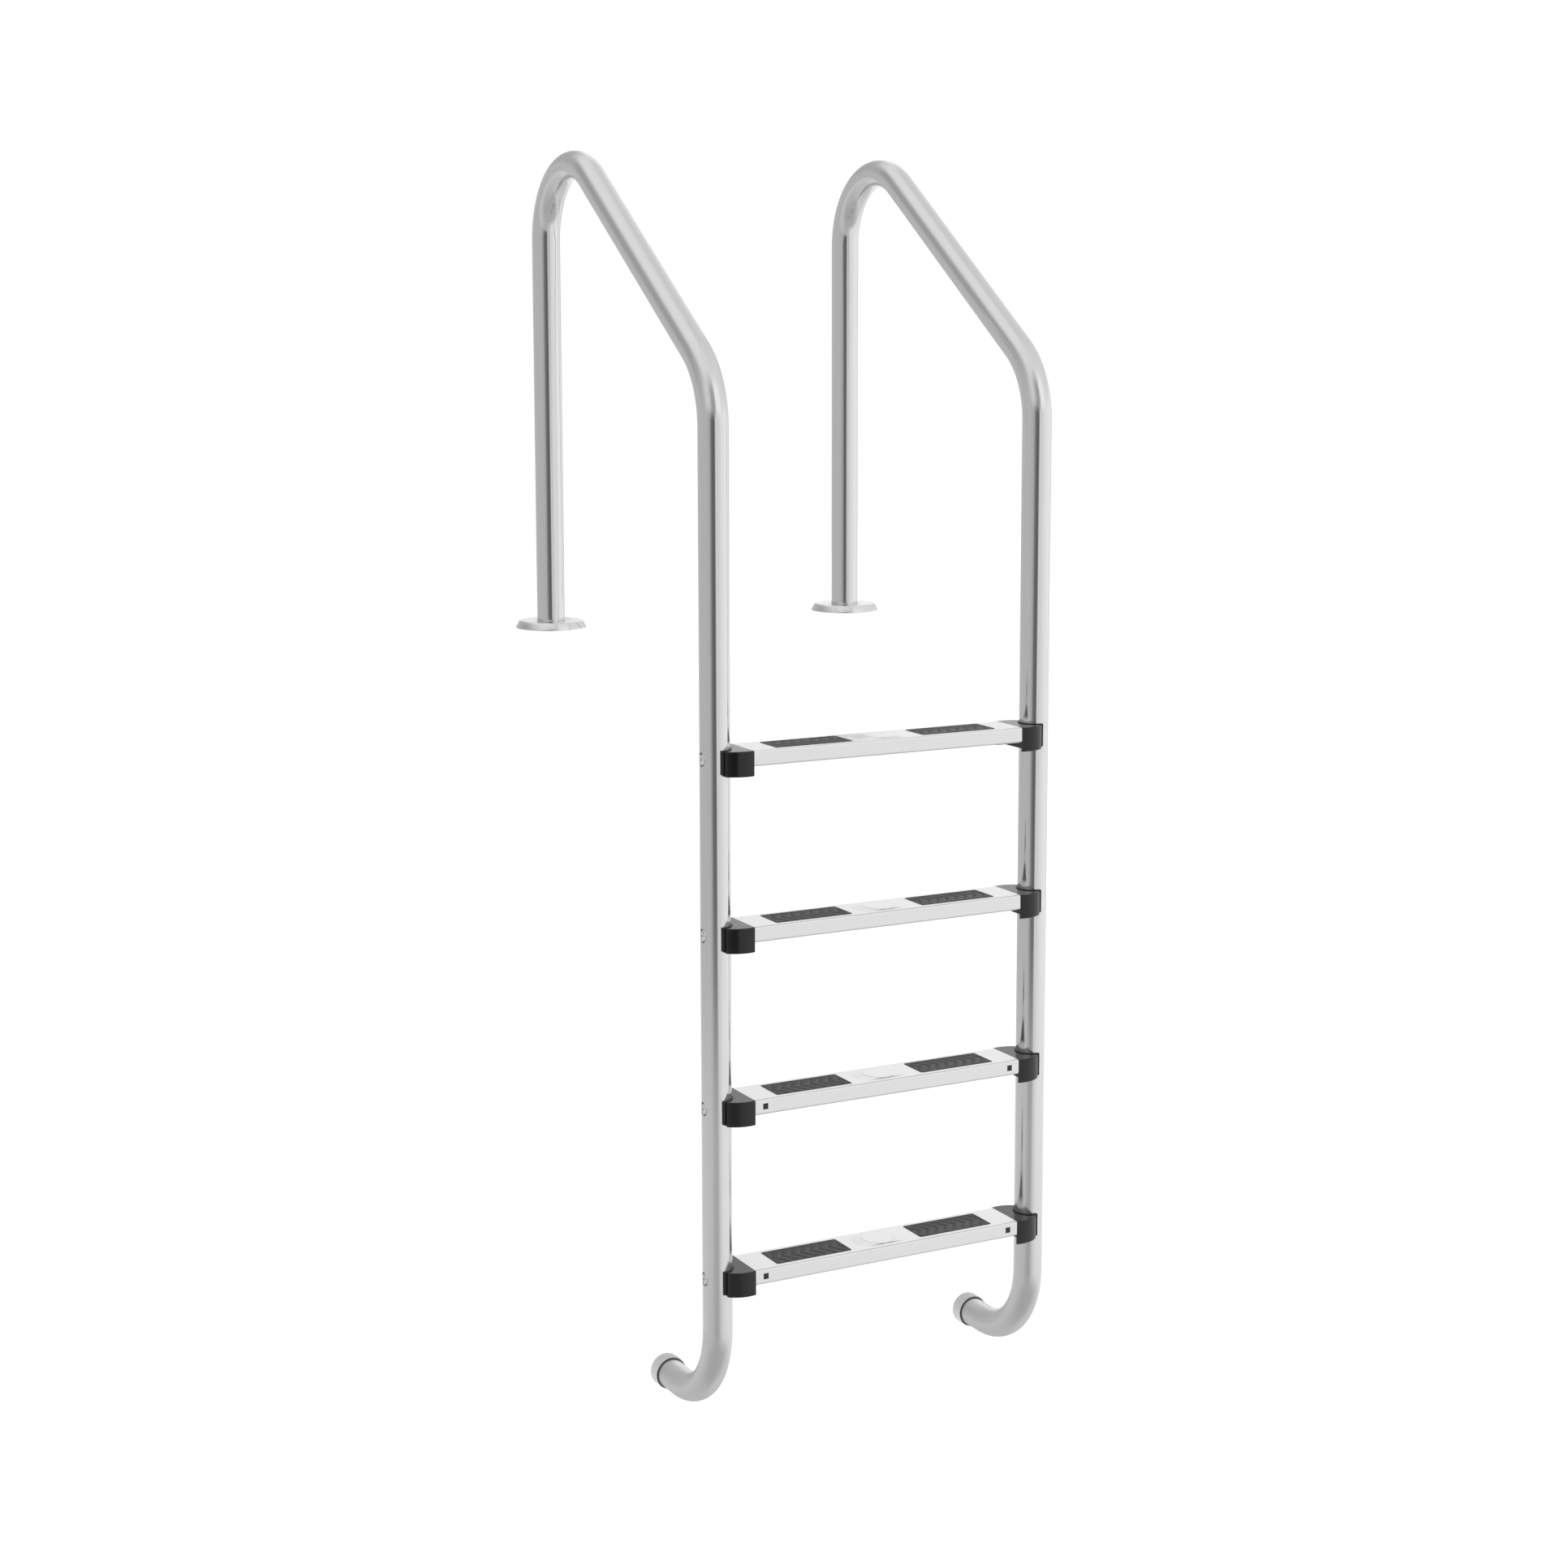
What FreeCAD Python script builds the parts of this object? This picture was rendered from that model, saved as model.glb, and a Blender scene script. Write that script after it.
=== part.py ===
import FreeCAD, Part
import os
from math import tan

import Sketcher

doc = FreeCAD.newDocument("pool_ladder")
os.makedirs("parts", exist_ok=True)

# Frame: millimetres, +Z up, -Y towards the pool, +X across the width. The origin is
# at deck level, midway between the two posts, on the line that joins their axes.

# ---------------------------------------------------------------- driving sizes
SIZES = {
    # rails
    "rail_spacing": 527,        # between the axes of the two rails
    "tube_od": 43,
    "tube_wall": 1.5,
    "rail_reach": 578,          # from the post axis to the rail axis
    "high_corner": 814,         # where the post and handrail axes would cross
    "low_corner": 400,          # where the handrail and rail axes would cross
    "top_bend": 111,
    "low_bend": 128,
    "foot_bend": 122,
    "foot_drop": 1075.5,        # foot axis below the deck
    "foot_run": 178,            # rail axis to the end of the foot tube
    # treads
    "tread_pitch": 250,
    "first_drop": 112,          # top tread below the deck
    "tread_depth": 73,
    "tread_height": 22.5,
    "sheet_gauge": 1.5,
    "tread_lip": 10,
    "tread_round": 3,
    "mark_dia": 50,             # plain ring coined in the middle of each tread
    "mark_width": 1.6,
    "mark_sink": 0.3,
    # grip pads
    "pad_length": 123,
    "pad_width": 53,
    "pad_centre": 119.2,        # pad centre from the middle of the tread
    "pad_round": 3,
    "pad_proud": 0.6,
    "pad_clear": 0.3,
    "pad_shoulder": 3,
    "pad_base": 2,
    "groove_pitch": 15.4,
    "groove_width": 3,
    "groove_sink": 1,
    "groove_sweep": 17.4,
    "pad_rim": 2,
    # end caps
    "cap_reach": 43,            # rail axis to the end of the tread
    "cap_height": 36,
    "cap_flare": 0.8,
    "cap_bow": 43,              # radius of the bowed front and back
    "cap_ear": 3,               # how far short of the rail axis the ears stop
    "cap_wrap": 5.5,            # ear thickness over the tube
    "cap_round": 4,
    "cap_edge": 1.6,
    "cap_wall": 3,
    "cap_floor": 2.5,
    "plug_length": 24,
    "plug_clear": 0.3,
    "plug_wall": 2.5,
    "liner_wall": 2.5,
    "liner_rise": 1,            # above the cap
    "liner_short": 3,           # above the foot of the cap
    "liner_past": 1.5,          # beyond the rail axis
    "press_clear": 0.05,
    # snap tabs of the two lower treads
    "snap_inset": 16.5,
    "snap_drop": 10.7,
    "snap_wide": 8,
    "snap_high": 8.5,
    "snap_clear": 0.3,
    # bolts
    "bolt_drop": 13,
    "bolt_dia": 8,
    "bolt_clear": 0.4,
    "head_dia": 16,
    "head_height": 3.7,
    "key_flats": 5,
    "key_sink": 2.8,
    "washer_gauge": 1,
    "washer_clear": 0.2,
    "dimple_dia": 17.6,         # pressed into the outer wall of the tube for each head
    "dimple_sink": 4.5,
    "dimple_wall": 1.5,
    "nut_flats": 13,
    "nut_height": 6.5,
    "nut_clear": 0.2,
    "nut_sink": 7,              # seat of the nut behind the end of the tread
    "thread_clear": 0.1,
    "bolt_past": 2,
    # deck plates and flange covers
    "plate_dia": 92,
    "plate_gauge": 4,
    "weld_size": 3.5,
    "anchor_circle": 70,
    "anchor_dia": 9,
    "cover_dia": 110,
    "cover_top": 99,
    "cover_height": 11.5,
    "cover_skirt": 1.6,
    "cover_wall": 1.5,
    "cover_clear": 0.4,
    # foot bumpers
    "bumper_wall": 3,
    "bumper_end": 5,
    "bumper_grip": 21,
    "bumper_round": 8,
    "gasket_wall": 1.8,
    "gasket_wide": 2,
}
TREADS = 4          # treads from the top down
SNAPPED = (2, 3)    # treads whose caps also snap into square holes
ANCHORS = 3         # deck screws per plate
GROOVES = 10        # herringbone grooves per pad
SIDES = {"left": -1, "right": 1}

sizes = doc.addObject("Spreadsheet::Sheet", "Sizes")
for row, (name, size) in enumerate(SIZES.items(), start=1):
    sizes.set(f"A{row}", name)
    sizes.set(f"B{row}", str(size))
    sizes.setAlias(f"B{row}", name)
doc.recompute()


def ref(expression):
    """The same expression with every size name pointing at the sheet."""
    out = []
    word = ""
    for letter in expression + " ":
        if letter.isalnum() or letter == "_":
            word += letter
            continue
        out.append(f"Sizes.{word}" if word in SIZES else word)
        word = ""
        out.append(letter)
    return "".join(out).strip()


def size_of(expression):
    """The present value of an expression in the size names."""
    return float(sizes.evalExpression(ref(expression)))


def drive(item, prop, expression):
    item.setExpression(prop, ref(expression))


# ---------------------------------------------------------------- sketch helpers
def new_body(name):
    body = doc.addObject("PartDesign::Body", name)
    body.Label = name
    return body


def place(item, across, along, up, turn=None):
    """Put a finished piece at its driven position, turned about Z by `turn` degrees."""
    if turn:
        item.Placement = FreeCAD.Placement(
            FreeCAD.Vector(), FreeCAD.Rotation(FreeCAD.Vector(0, 0, 1), turn))
    drive(item, ".Placement.Base.x", across)
    drive(item, ".Placement.Base.y", along)
    drive(item, ".Placement.Base.z", up)


def new_sketch(body, name, role, offset="0"):
    """A sketch on one of the body's own origin planes, moved along its normal."""
    plane = next(f for f in body.Origin.OriginFeatures if f.Role == role)
    sketch = body.newObject("Sketcher::SketchObject", name)
    sketch.AttachmentSupport = (plane, [""])
    sketch.MapMode = "FlatFace"
    if offset != "0":
        drive(sketch, ".AttachmentOffset.Base.z", offset)
    doc.recompute()
    return sketch


def rule(sketch, kind, *what):
    """Add a constraint; a trailing string is the expression that drives it."""
    expression = what[-1] if isinstance(what[-1], str) else None
    if expression is None:
        return sketch.addConstraint(Sketcher.Constraint(kind, *what))
    value = size_of(expression)
    index = sketch.addConstraint(Sketcher.Constraint(kind, *what[:-1], value))
    sketch.setExpression(f"Constraints[{index}]", ref(expression))
    return index


def pin(sketch, line, end, x, y):
    """Drive one end of a sketch line to (x, y) from the sketch origin."""
    rule(sketch, "DistanceX", -1, 1, line, end, x)
    rule(sketch, "DistanceY", -1, 1, line, end, y)


def add_outline(sketch, corners):
    """A closed outline of straight lines through driven corners."""
    spots = [FreeCAD.Vector(size_of(x), size_of(y), 0) for x, y in corners]
    lines = []
    for here, there in zip(spots, spots[1:] + spots[:1]):
        lines.append(sketch.addGeometry(Part.LineSegment(here, there), False))
    for line, after in zip(lines, lines[1:] + lines[:1]):
        sketch.addConstraint(Sketcher.Constraint("Coincident", line, 2, after, 1))
    for line, (x, y) in zip(lines, corners):
        pin(sketch, line, 1, x, y)
    return lines


def add_box_outline(sketch, x0, x1, y0, y1):
    return add_outline(sketch, [(x0, y0), (x1, y0), (x1, y1), (x0, y1)])


def add_circle(sketch, x, y, radius):
    centre = FreeCAD.Vector(size_of(x), size_of(y), 0)
    ring = sketch.addGeometry(
        Part.Circle(centre, FreeCAD.Vector(0, 0, 1), size_of(radius)), False)
    rule(sketch, "Radius", ring, radius)
    pin(sketch, ring, 3, x, y)
    return ring


def new_feature(body, kind, name, sketch, length=None, both=False, reverse=False, through=False):
    """Pad or Pocket of a sketch; `reverse` sends it along the other normal."""
    feature = body.newObject(f"PartDesign::{kind}", name)
    feature.Profile = sketch
    if through:
        feature.Type = "ThroughAll"
    if length is not None:
        drive(feature, "Length", length)
    feature.SideType = "Symmetric" if both else "One side"
    feature.Reversed = reverse
    body.Tip = feature
    doc.recompute()
    return feature


def turn_about(body, kind, name, sketch, axis):
    """Full revolution (or groove) of a sketch about one of the sketch's own axes."""
    feature = body.newObject(f"PartDesign::{kind}", name)
    feature.Profile = sketch
    feature.ReferenceAxis = (sketch, [axis])
    feature.Angle = 360
    body.Tip = feature
    doc.recompute()
    return feature


def round_edges(body, name, radius, wanted):
    """Fillet the edges of the body's tip whose middle and direction satisfy `wanted`."""
    tip = body.Tip
    names = []
    for number, edge in enumerate(tip.Shape.Edges, start=1):
        middle = edge.valueAt((edge.FirstParameter + edge.LastParameter) / 2)
        box = edge.BoundBox
        if wanted(middle, box):
            names.append(f"Edge{number}")
    if not names:
        raise ValueError(f"{body.Label}: no edge found for {name}")
    fillet = body.newObject("PartDesign::Fillet", name)
    fillet.Base = (tip, names)
    drive(fillet, "Radius", radius)
    body.Tip = fillet
    doc.recompute()
    return fillet


def near(a, b, slack=0.05):
    return abs(a - b) < slack


nodes = []

# ---------------------------------------------------------------- rails
# One stainless tube a side: deck post, top bend, sloping handrail, low bend, ladder
# rail and a foot that turns in towards the pool wall. The treads bolt through it.


def arc_at(corner, before, after, radius):
    """The arc of `radius` that rounds a corner, with its two tangent points."""
    back = (before - corner).normalize()
    ahead = (after - corner).normalize()
    half = back.getAngle(ahead) / 2
    start = corner + back * (radius / tan(half))
    end = corner + ahead * (radius / tan(half))
    inward = (back + ahead).normalize()
    centre = corner + inward * (start.sub(corner).Length ** 2 + radius ** 2) ** 0.5
    return start, centre - inward * radius, end


def add_bent_line(sketch, corners, radii):
    """Straight runs through driven corners, each inner corner rounded to a driven radius."""
    spots = [FreeCAD.Vector(size_of(x), size_of(y), 0) for x, y in corners]
    bends = [arc_at(spots[i + 1], spots[i], spots[i + 2], size_of(radius))
             for i, radius in enumerate(radii)]
    starts = [spots[0]] + [bend[2] for bend in bends]
    ends = [bend[0] for bend in bends] + [spots[-1]]
    runs = [sketch.addGeometry(Part.LineSegment(a, b), False) for a, b in zip(starts, ends)]
    for i, (bend, radius) in enumerate(zip(bends, radii)):
        arc = sketch.addGeometry(Part.Arc(*bend), False)
        starts_first = sketch.getPoint(arc, 1).distanceToPoint(bend[0]) < 1e-3
        first, last = (1, 2) if starts_first else (2, 1)
        sketch.addConstraint(Sketcher.Constraint("Tangent", runs[i], 2, arc, first))
        sketch.addConstraint(Sketcher.Constraint("Tangent", runs[i + 1], 1, arc, last))
        rule(sketch, "Radius", arc, radius)
        corner = sketch.addGeometry(Part.Point(spots[i + 1]), True)
        sketch.addConstraint(Sketcher.Constraint("PointOnObject", corner, 1, runs[i]))
        sketch.addConstraint(Sketcher.Constraint("PointOnObject", corner, 1, runs[i + 1]))
        pin(sketch, corner, 1, *corners[i + 1])
    pin(sketch, runs[0], 1, *corners[0])
    pin(sketch, runs[-1], 2, *corners[-1])


def tread_level(step):
    """Top of tread `step`, counted from 0 at the top, measured from the deck."""
    return f"-(first_drop + {step} * tread_pitch)"


DIMPLE_FLOOR = "(tube_od / 2 - dimple_sink)"


def build_rail(side):
    body = new_body(f"{side}_rail")
    path = new_sketch(body, f"{side}_rail_path", "YZ_Plane")
    add_bent_line(
        path,
        [("0", "0"), ("0", "high_corner"), ("-rail_reach", "low_corner"),
         ("-rail_reach", "-foot_drop"), ("-rail_reach + foot_run", "-foot_drop")],
        ["top_bend", "low_bend", "foot_bend"])
    section = new_sketch(body, f"{side}_rail_section", "XY_Plane")
    add_circle(section, "0", "0", "tube_od / 2")
    add_circle(section, "0", "0", "tube_od / 2 - tube_wall")
    tube = body.newObject("PartDesign::AdditivePipe", f"{side}_rail_tube")
    tube.Profile = section
    tube.Spine = path
    body.Tip = tube
    doc.recompute()
    hand = SIDES[side]
    cups = new_sketch(body, f"{side}_rail_cups_plan", "YZ_Plane",
                      f"{hand} * ({DIMPLE_FLOOR} - dimple_wall)")
    dimples = new_sketch(body, f"{side}_rail_dimples_plan", "YZ_Plane",
                         f"{hand} * {DIMPLE_FLOOR}")
    for step in range(TREADS):
        level = f"{tread_level(step)} - bolt_drop"
        add_circle(cups, "-rail_reach", level, "dimple_dia / 2 + dimple_wall")
        add_circle(dimples, "-rail_reach", level, "dimple_dia / 2")
    new_feature(body, "Pad", f"{side}_rail_cups", cups, reverse=hand < 0,
                length="dimple_sink + dimple_wall + 2")
    trim = new_sketch(body, f"{side}_rail_trim_plan", "XY_Plane",
                      f"{tread_level(0)} - bolt_drop + dimple_dia")
    add_circle(trim, "0", "-rail_reach", "tube_od / 2")
    add_circle(trim, "0", "-rail_reach", "tube_od / 2 + 5")
    new_feature(body, "Pocket", f"{side}_rail_trim", trim,
                length=f"{TREADS - 1} * tread_pitch + 2 * dimple_dia")
    new_feature(body, "Pocket", f"{side}_rail_dimples", dimples, reverse=hand > 0,
                length="dimple_sink + 3")
    holes = new_sketch(body, f"{side}_rail_holes", "YZ_Plane")
    for step in range(TREADS):
        add_circle(holes, "-rail_reach", f"{tread_level(step)} - bolt_drop",
                   "bolt_dia / 2 + bolt_clear")
    new_feature(body, "Pocket", f"{side}_rail_bores", holes, length="tube_od + 2", both=True)
    place(body, f"{SIDES[side]} * rail_spacing / 2", "0", "0")
    nodes.append(body)


for side in SIDES:
    build_rail(side)

# ---------------------------------------------------------------- deck plates and covers
# A round plate is welded to the foot of each post and screwed to the deck. A pressed
# cover hides it and can be slid up the post.


def build_plate(side):
    body = new_body(f"{side}_base_plate")
    profile = new_sketch(body, f"{side}_plate_profile", "XZ_Plane")
    bore = "tube_od / 2 + press_clear"
    add_outline(profile, [
        (bore, "0"), ("plate_dia / 2", "0"), ("plate_dia / 2", "plate_gauge"),
        (f"{bore} + weld_size", "plate_gauge"), (bore, "plate_gauge + weld_size")])
    turn_about(body, "Revolution", f"{side}_plate_disc", profile, "V_Axis")
    drill = new_sketch(body, f"{side}_plate_drill", "XY_Plane")
    add_circle(drill, "anchor_circle / 2", "0", "anchor_dia / 2")
    hole = new_feature(body, "Pocket", f"{side}_plate_hole", drill,
                       length="plate_gauge + 1", reverse=True)
    ring = body.newObject("PartDesign::PolarPattern", f"{side}_plate_holes")
    ring.Originals = [hole]
    ring.Axis = (drill, ["N_Axis"])
    ring.Angle = 360
    ring.Occurrences = ANCHORS
    body.Tip = ring
    doc.recompute()
    place(body, f"{SIDES[side]} * rail_spacing / 2", "0", "0", turn=90)
    nodes.append(body)


def build_cover(side):
    body = new_body(f"{side}_flange_cover")
    profile = new_sketch(body, f"{side}_cover_profile", "XZ_Plane")
    bore = "tube_od / 2 + cover_clear"
    add_outline(profile, [
        ("cover_dia / 2 - cover_wall", "0"), ("cover_dia / 2", "0"),
        ("cover_dia / 2", "cover_skirt"), ("cover_top / 2", "cover_height"),
        (bore, "cover_height"), (bore, "cover_height - cover_wall"),
        ("cover_top / 2 - cover_wall", "cover_height - cover_wall"),
        ("cover_dia / 2 - cover_wall", "cover_skirt")])
    turn_about(body, "Revolution", f"{side}_cover_shell", profile, "V_Axis")
    round_edges(body, f"{side}_cover_rim", "cover_wall * 1.4",
                lambda m, b: near(b.ZMin, size_of("cover_height")) and near(b.ZMax, b.ZMin)
                and near(b.XMax, size_of("cover_top / 2"), 0.5))
    place(body, f"{SIDES[side]} * rail_spacing / 2", "0", "0")
    nodes.append(body)


for side in SIDES:
    build_plate(side)
    build_cover(side)

# ---------------------------------------------------------------- treads
# Folded stainless channels with returned lips below, a window for each grip pad and a
# plain ring coined in the middle.


def build_tread(step):
    body = new_body(f"tread_{step + 1}")
    outer, height, wall = "tread_depth / 2", "tread_height", "sheet_gauge"
    lip = f"{outer} - tread_lip"
    fold = new_sketch(body, f"tread_{step + 1}_fold", "YZ_Plane")
    add_outline(fold, [
        (f"-({outer})", "0"), (outer, "0"), (outer, f"-{height}"), (lip, f"-{height}"),
        (lip, f"-{height} + {wall}"), (f"{outer} - {wall}", f"-{height} + {wall}"),
        (f"{outer} - {wall}", f"-{wall}"), (f"-({outer} - {wall})", f"-{wall}"),
        (f"-({outer} - {wall})", f"-{height} + {wall}"), (f"-({lip})", f"-{height} + {wall}"),
        (f"-({lip})", f"-{height}"), (f"-({outer})", f"-{height}")])
    new_feature(body, "Pad", f"tread_{step + 1}_channel", fold,
                length="rail_spacing - 2 * cap_reach", both=True)
    half = size_of(outer)
    gauge = size_of(wall)
    round_edges(body, f"tread_{step + 1}_outer_bends", "tread_round",
                lambda m, b: near(abs(m.y), half) and b.XLength > 10)
    round_edges(body, f"tread_{step + 1}_inner_bends", "tread_round - sheet_gauge",
                lambda m, b: near(abs(m.y), half - gauge) and b.XLength > 10
                and min(abs(m.z + gauge), abs(m.z + size_of(height) - gauge)) < 0.05)
    windows = new_sketch(body, f"tread_{step + 1}_windows", "XY_Plane")
    long, wide = "pad_length / 2 + pad_clear", "pad_width / 2 + pad_clear"
    for hand in (-1, 1):
        add_box_outline(windows, f"{hand} * pad_centre - ({long})", f"{hand} * pad_centre + ({long})",
                        f"-({wide})", wide)
    new_feature(body, "Pocket", f"tread_{step + 1}_cut", windows, length="sheet_gauge + 1")
    edge = size_of(wide)
    round_edges(body, f"tread_{step + 1}_window_corners", "pad_round + pad_clear",
                lambda m, b: near(abs(m.y), edge) and near(b.ZLength, gauge))
    mark = new_sketch(body, f"tread_{step + 1}_ring", "XY_Plane")
    add_circle(mark, "0", "0", "mark_dia / 2")
    add_circle(mark, "0", "0", "mark_dia / 2 - mark_width")
    new_feature(body, "Pocket", f"tread_{step + 1}_mark", mark, length="mark_sink")
    if step in SNAPPED:
        front = new_sketch(body, f"tread_{step + 1}_squares", "XZ_Plane", "tread_depth / 2 + 1")
        for hand in (-1, 1):
            middle = f"{hand} * (rail_spacing / 2 - cap_reach - snap_inset)"
            add_box_outline(front, f"{middle} - snap_wide / 2", f"{middle} + snap_wide / 2",
                            "-snap_drop - snap_high / 2", "-snap_drop + snap_high / 2")
        new_feature(body, "Pocket", f"tread_{step + 1}_holes", front, length="sheet_gauge + 2")
    place(body, "0", "-rail_reach", tread_level(step))
    nodes.append(body)


for step in range(TREADS):
    build_tread(step)

# ---------------------------------------------------------------- grip pads
# Moulded rubber inserts that fill the windows, held by a wider shoulder under the
# sheet. Herringbone grooves run inside a plain rim and point away from the middle.


def build_pad(step, side):
    body = new_body(f"tread_{step + 1}_{side}_pad")
    name = f"pad_{step + 1}_{side}"
    long, wide = "pad_length / 2", "pad_width / 2"
    top, floor = "pad_proud", "-sheet_gauge - press_clear"
    plan = new_sketch(body, f"{name}_plan", "XY_Plane", floor)
    add_box_outline(plan, f"-{long}", long, f"-{wide}", wide)
    new_feature(body, "Pad", f"{name}_block", plan, length=f"{top} + sheet_gauge + press_clear")
    round_edges(body, f"{name}_corners", "pad_round", lambda m, b: b.ZLength > 1)
    cuts = new_sketch(body, f"{name}_cuts", "XY_Plane", top)
    start = f"-{long} - groove_sweep - groove_pitch / 2"
    add_outline(cuts, [
        (start, f"-{wide} - 1"), (f"{start} + groove_width", f"-{wide} - 1"),
        (f"{start} + groove_width + groove_sweep", "0"), (f"{start} + groove_width", f"{wide} + 1"),
        (start, f"{wide} + 1"), (f"{start} + groove_sweep", "0")])
    groove = new_feature(body, "Pocket", f"{name}_groove", cuts, length="groove_sink")
    run = body.newObject("PartDesign::LinearPattern", f"{name}_grooves")
    run.Originals = [groove]
    run.Direction = (cuts, ["H_Axis"])
    run.Mode = "Spacing"
    drive(run, "Offset", "groove_pitch")
    run.Occurrences = GROOVES
    body.Tip = run
    doc.recompute()
    rim = new_sketch(body, f"{name}_rim_plan", "XY_Plane", f"{top} - groove_sink - 0.2")
    add_box_outline(rim, f"-{long}", long, f"-{wide}", wide)
    add_box_outline(rim, f"-({long} - pad_rim)", f"{long} - pad_rim",
                    f"-({wide} - pad_rim)", f"{wide} - pad_rim")
    new_feature(body, "Pad", f"{name}_rim", rim, length="groove_sink + 0.2")
    shoulder = new_sketch(body, f"{name}_base_plan", "XY_Plane", floor)
    add_box_outline(shoulder, f"-{long} - pad_shoulder", f"{long} + pad_shoulder",
                    f"-{wide} - pad_shoulder", f"{wide} + pad_shoulder")
    new_feature(body, "Pad", f"{name}_base", shoulder, length="pad_base", reverse=True)
    turn = 180 if side == "left" else None
    place(body, f"{SIDES[side]} * pad_centre", "-rail_reach", tread_level(step), turn=turn)
    nodes.append(body)


for step in range(TREADS):
    for side in SIDES:
        build_pad(step, side)

# ---------------------------------------------------------------- end caps and liners
# Black moulded caps close the treads, hug the inner half of each rail and carry the
# bolts. The skirt below the tread is hollow. A soft liner sits between cap and tube.
# In their own frame +X points away from the middle of the ladder.
HEX_CORNER = "2 / sqrt(3)"


def add_hexagon(sketch, across, x, y):
    """Hexagon with two level flats, `across` them from side to side."""
    half = f"({across}) / 2"
    far = f"{half} * {HEX_CORNER}"
    add_outline(sketch, [
        (f"{x} + {far}", y), (f"{x} + {far} / 2", f"{y} + {half}"),
        (f"{x} - {far} / 2", f"{y} + {half}"), (f"{x} - {far}", y),
        (f"{x} - {far} / 2", f"{y} - {half}"), (f"{x} + {far} / 2", f"{y} - {half}")])


def add_bow(sketch, first, last, radius, hand):
    """Arc of a driven radius between two driven points, bulging towards `hand` along Y."""
    a = FreeCAD.Vector(size_of(first[0]), size_of(first[1]), 0)
    b = FreeCAD.Vector(size_of(last[0]), size_of(last[1]), 0)
    chord = b - a
    out = FreeCAD.Vector(chord.y, -chord.x, 0).normalize()
    if out.y * hand < 0:
        out = out * -1
    value = size_of(radius)
    rise = value - (value ** 2 - chord.Length ** 2 / 4) ** 0.5
    arc = sketch.addGeometry(Part.Arc(a, (a + b) * 0.5 + out * rise, b), False)
    begins = sketch.getPoint(arc, 1).distanceToPoint(a) < 1e-3
    rule(sketch, "Radius", arc, radius)
    return arc, (1, 2) if begins else (2, 1)


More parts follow.
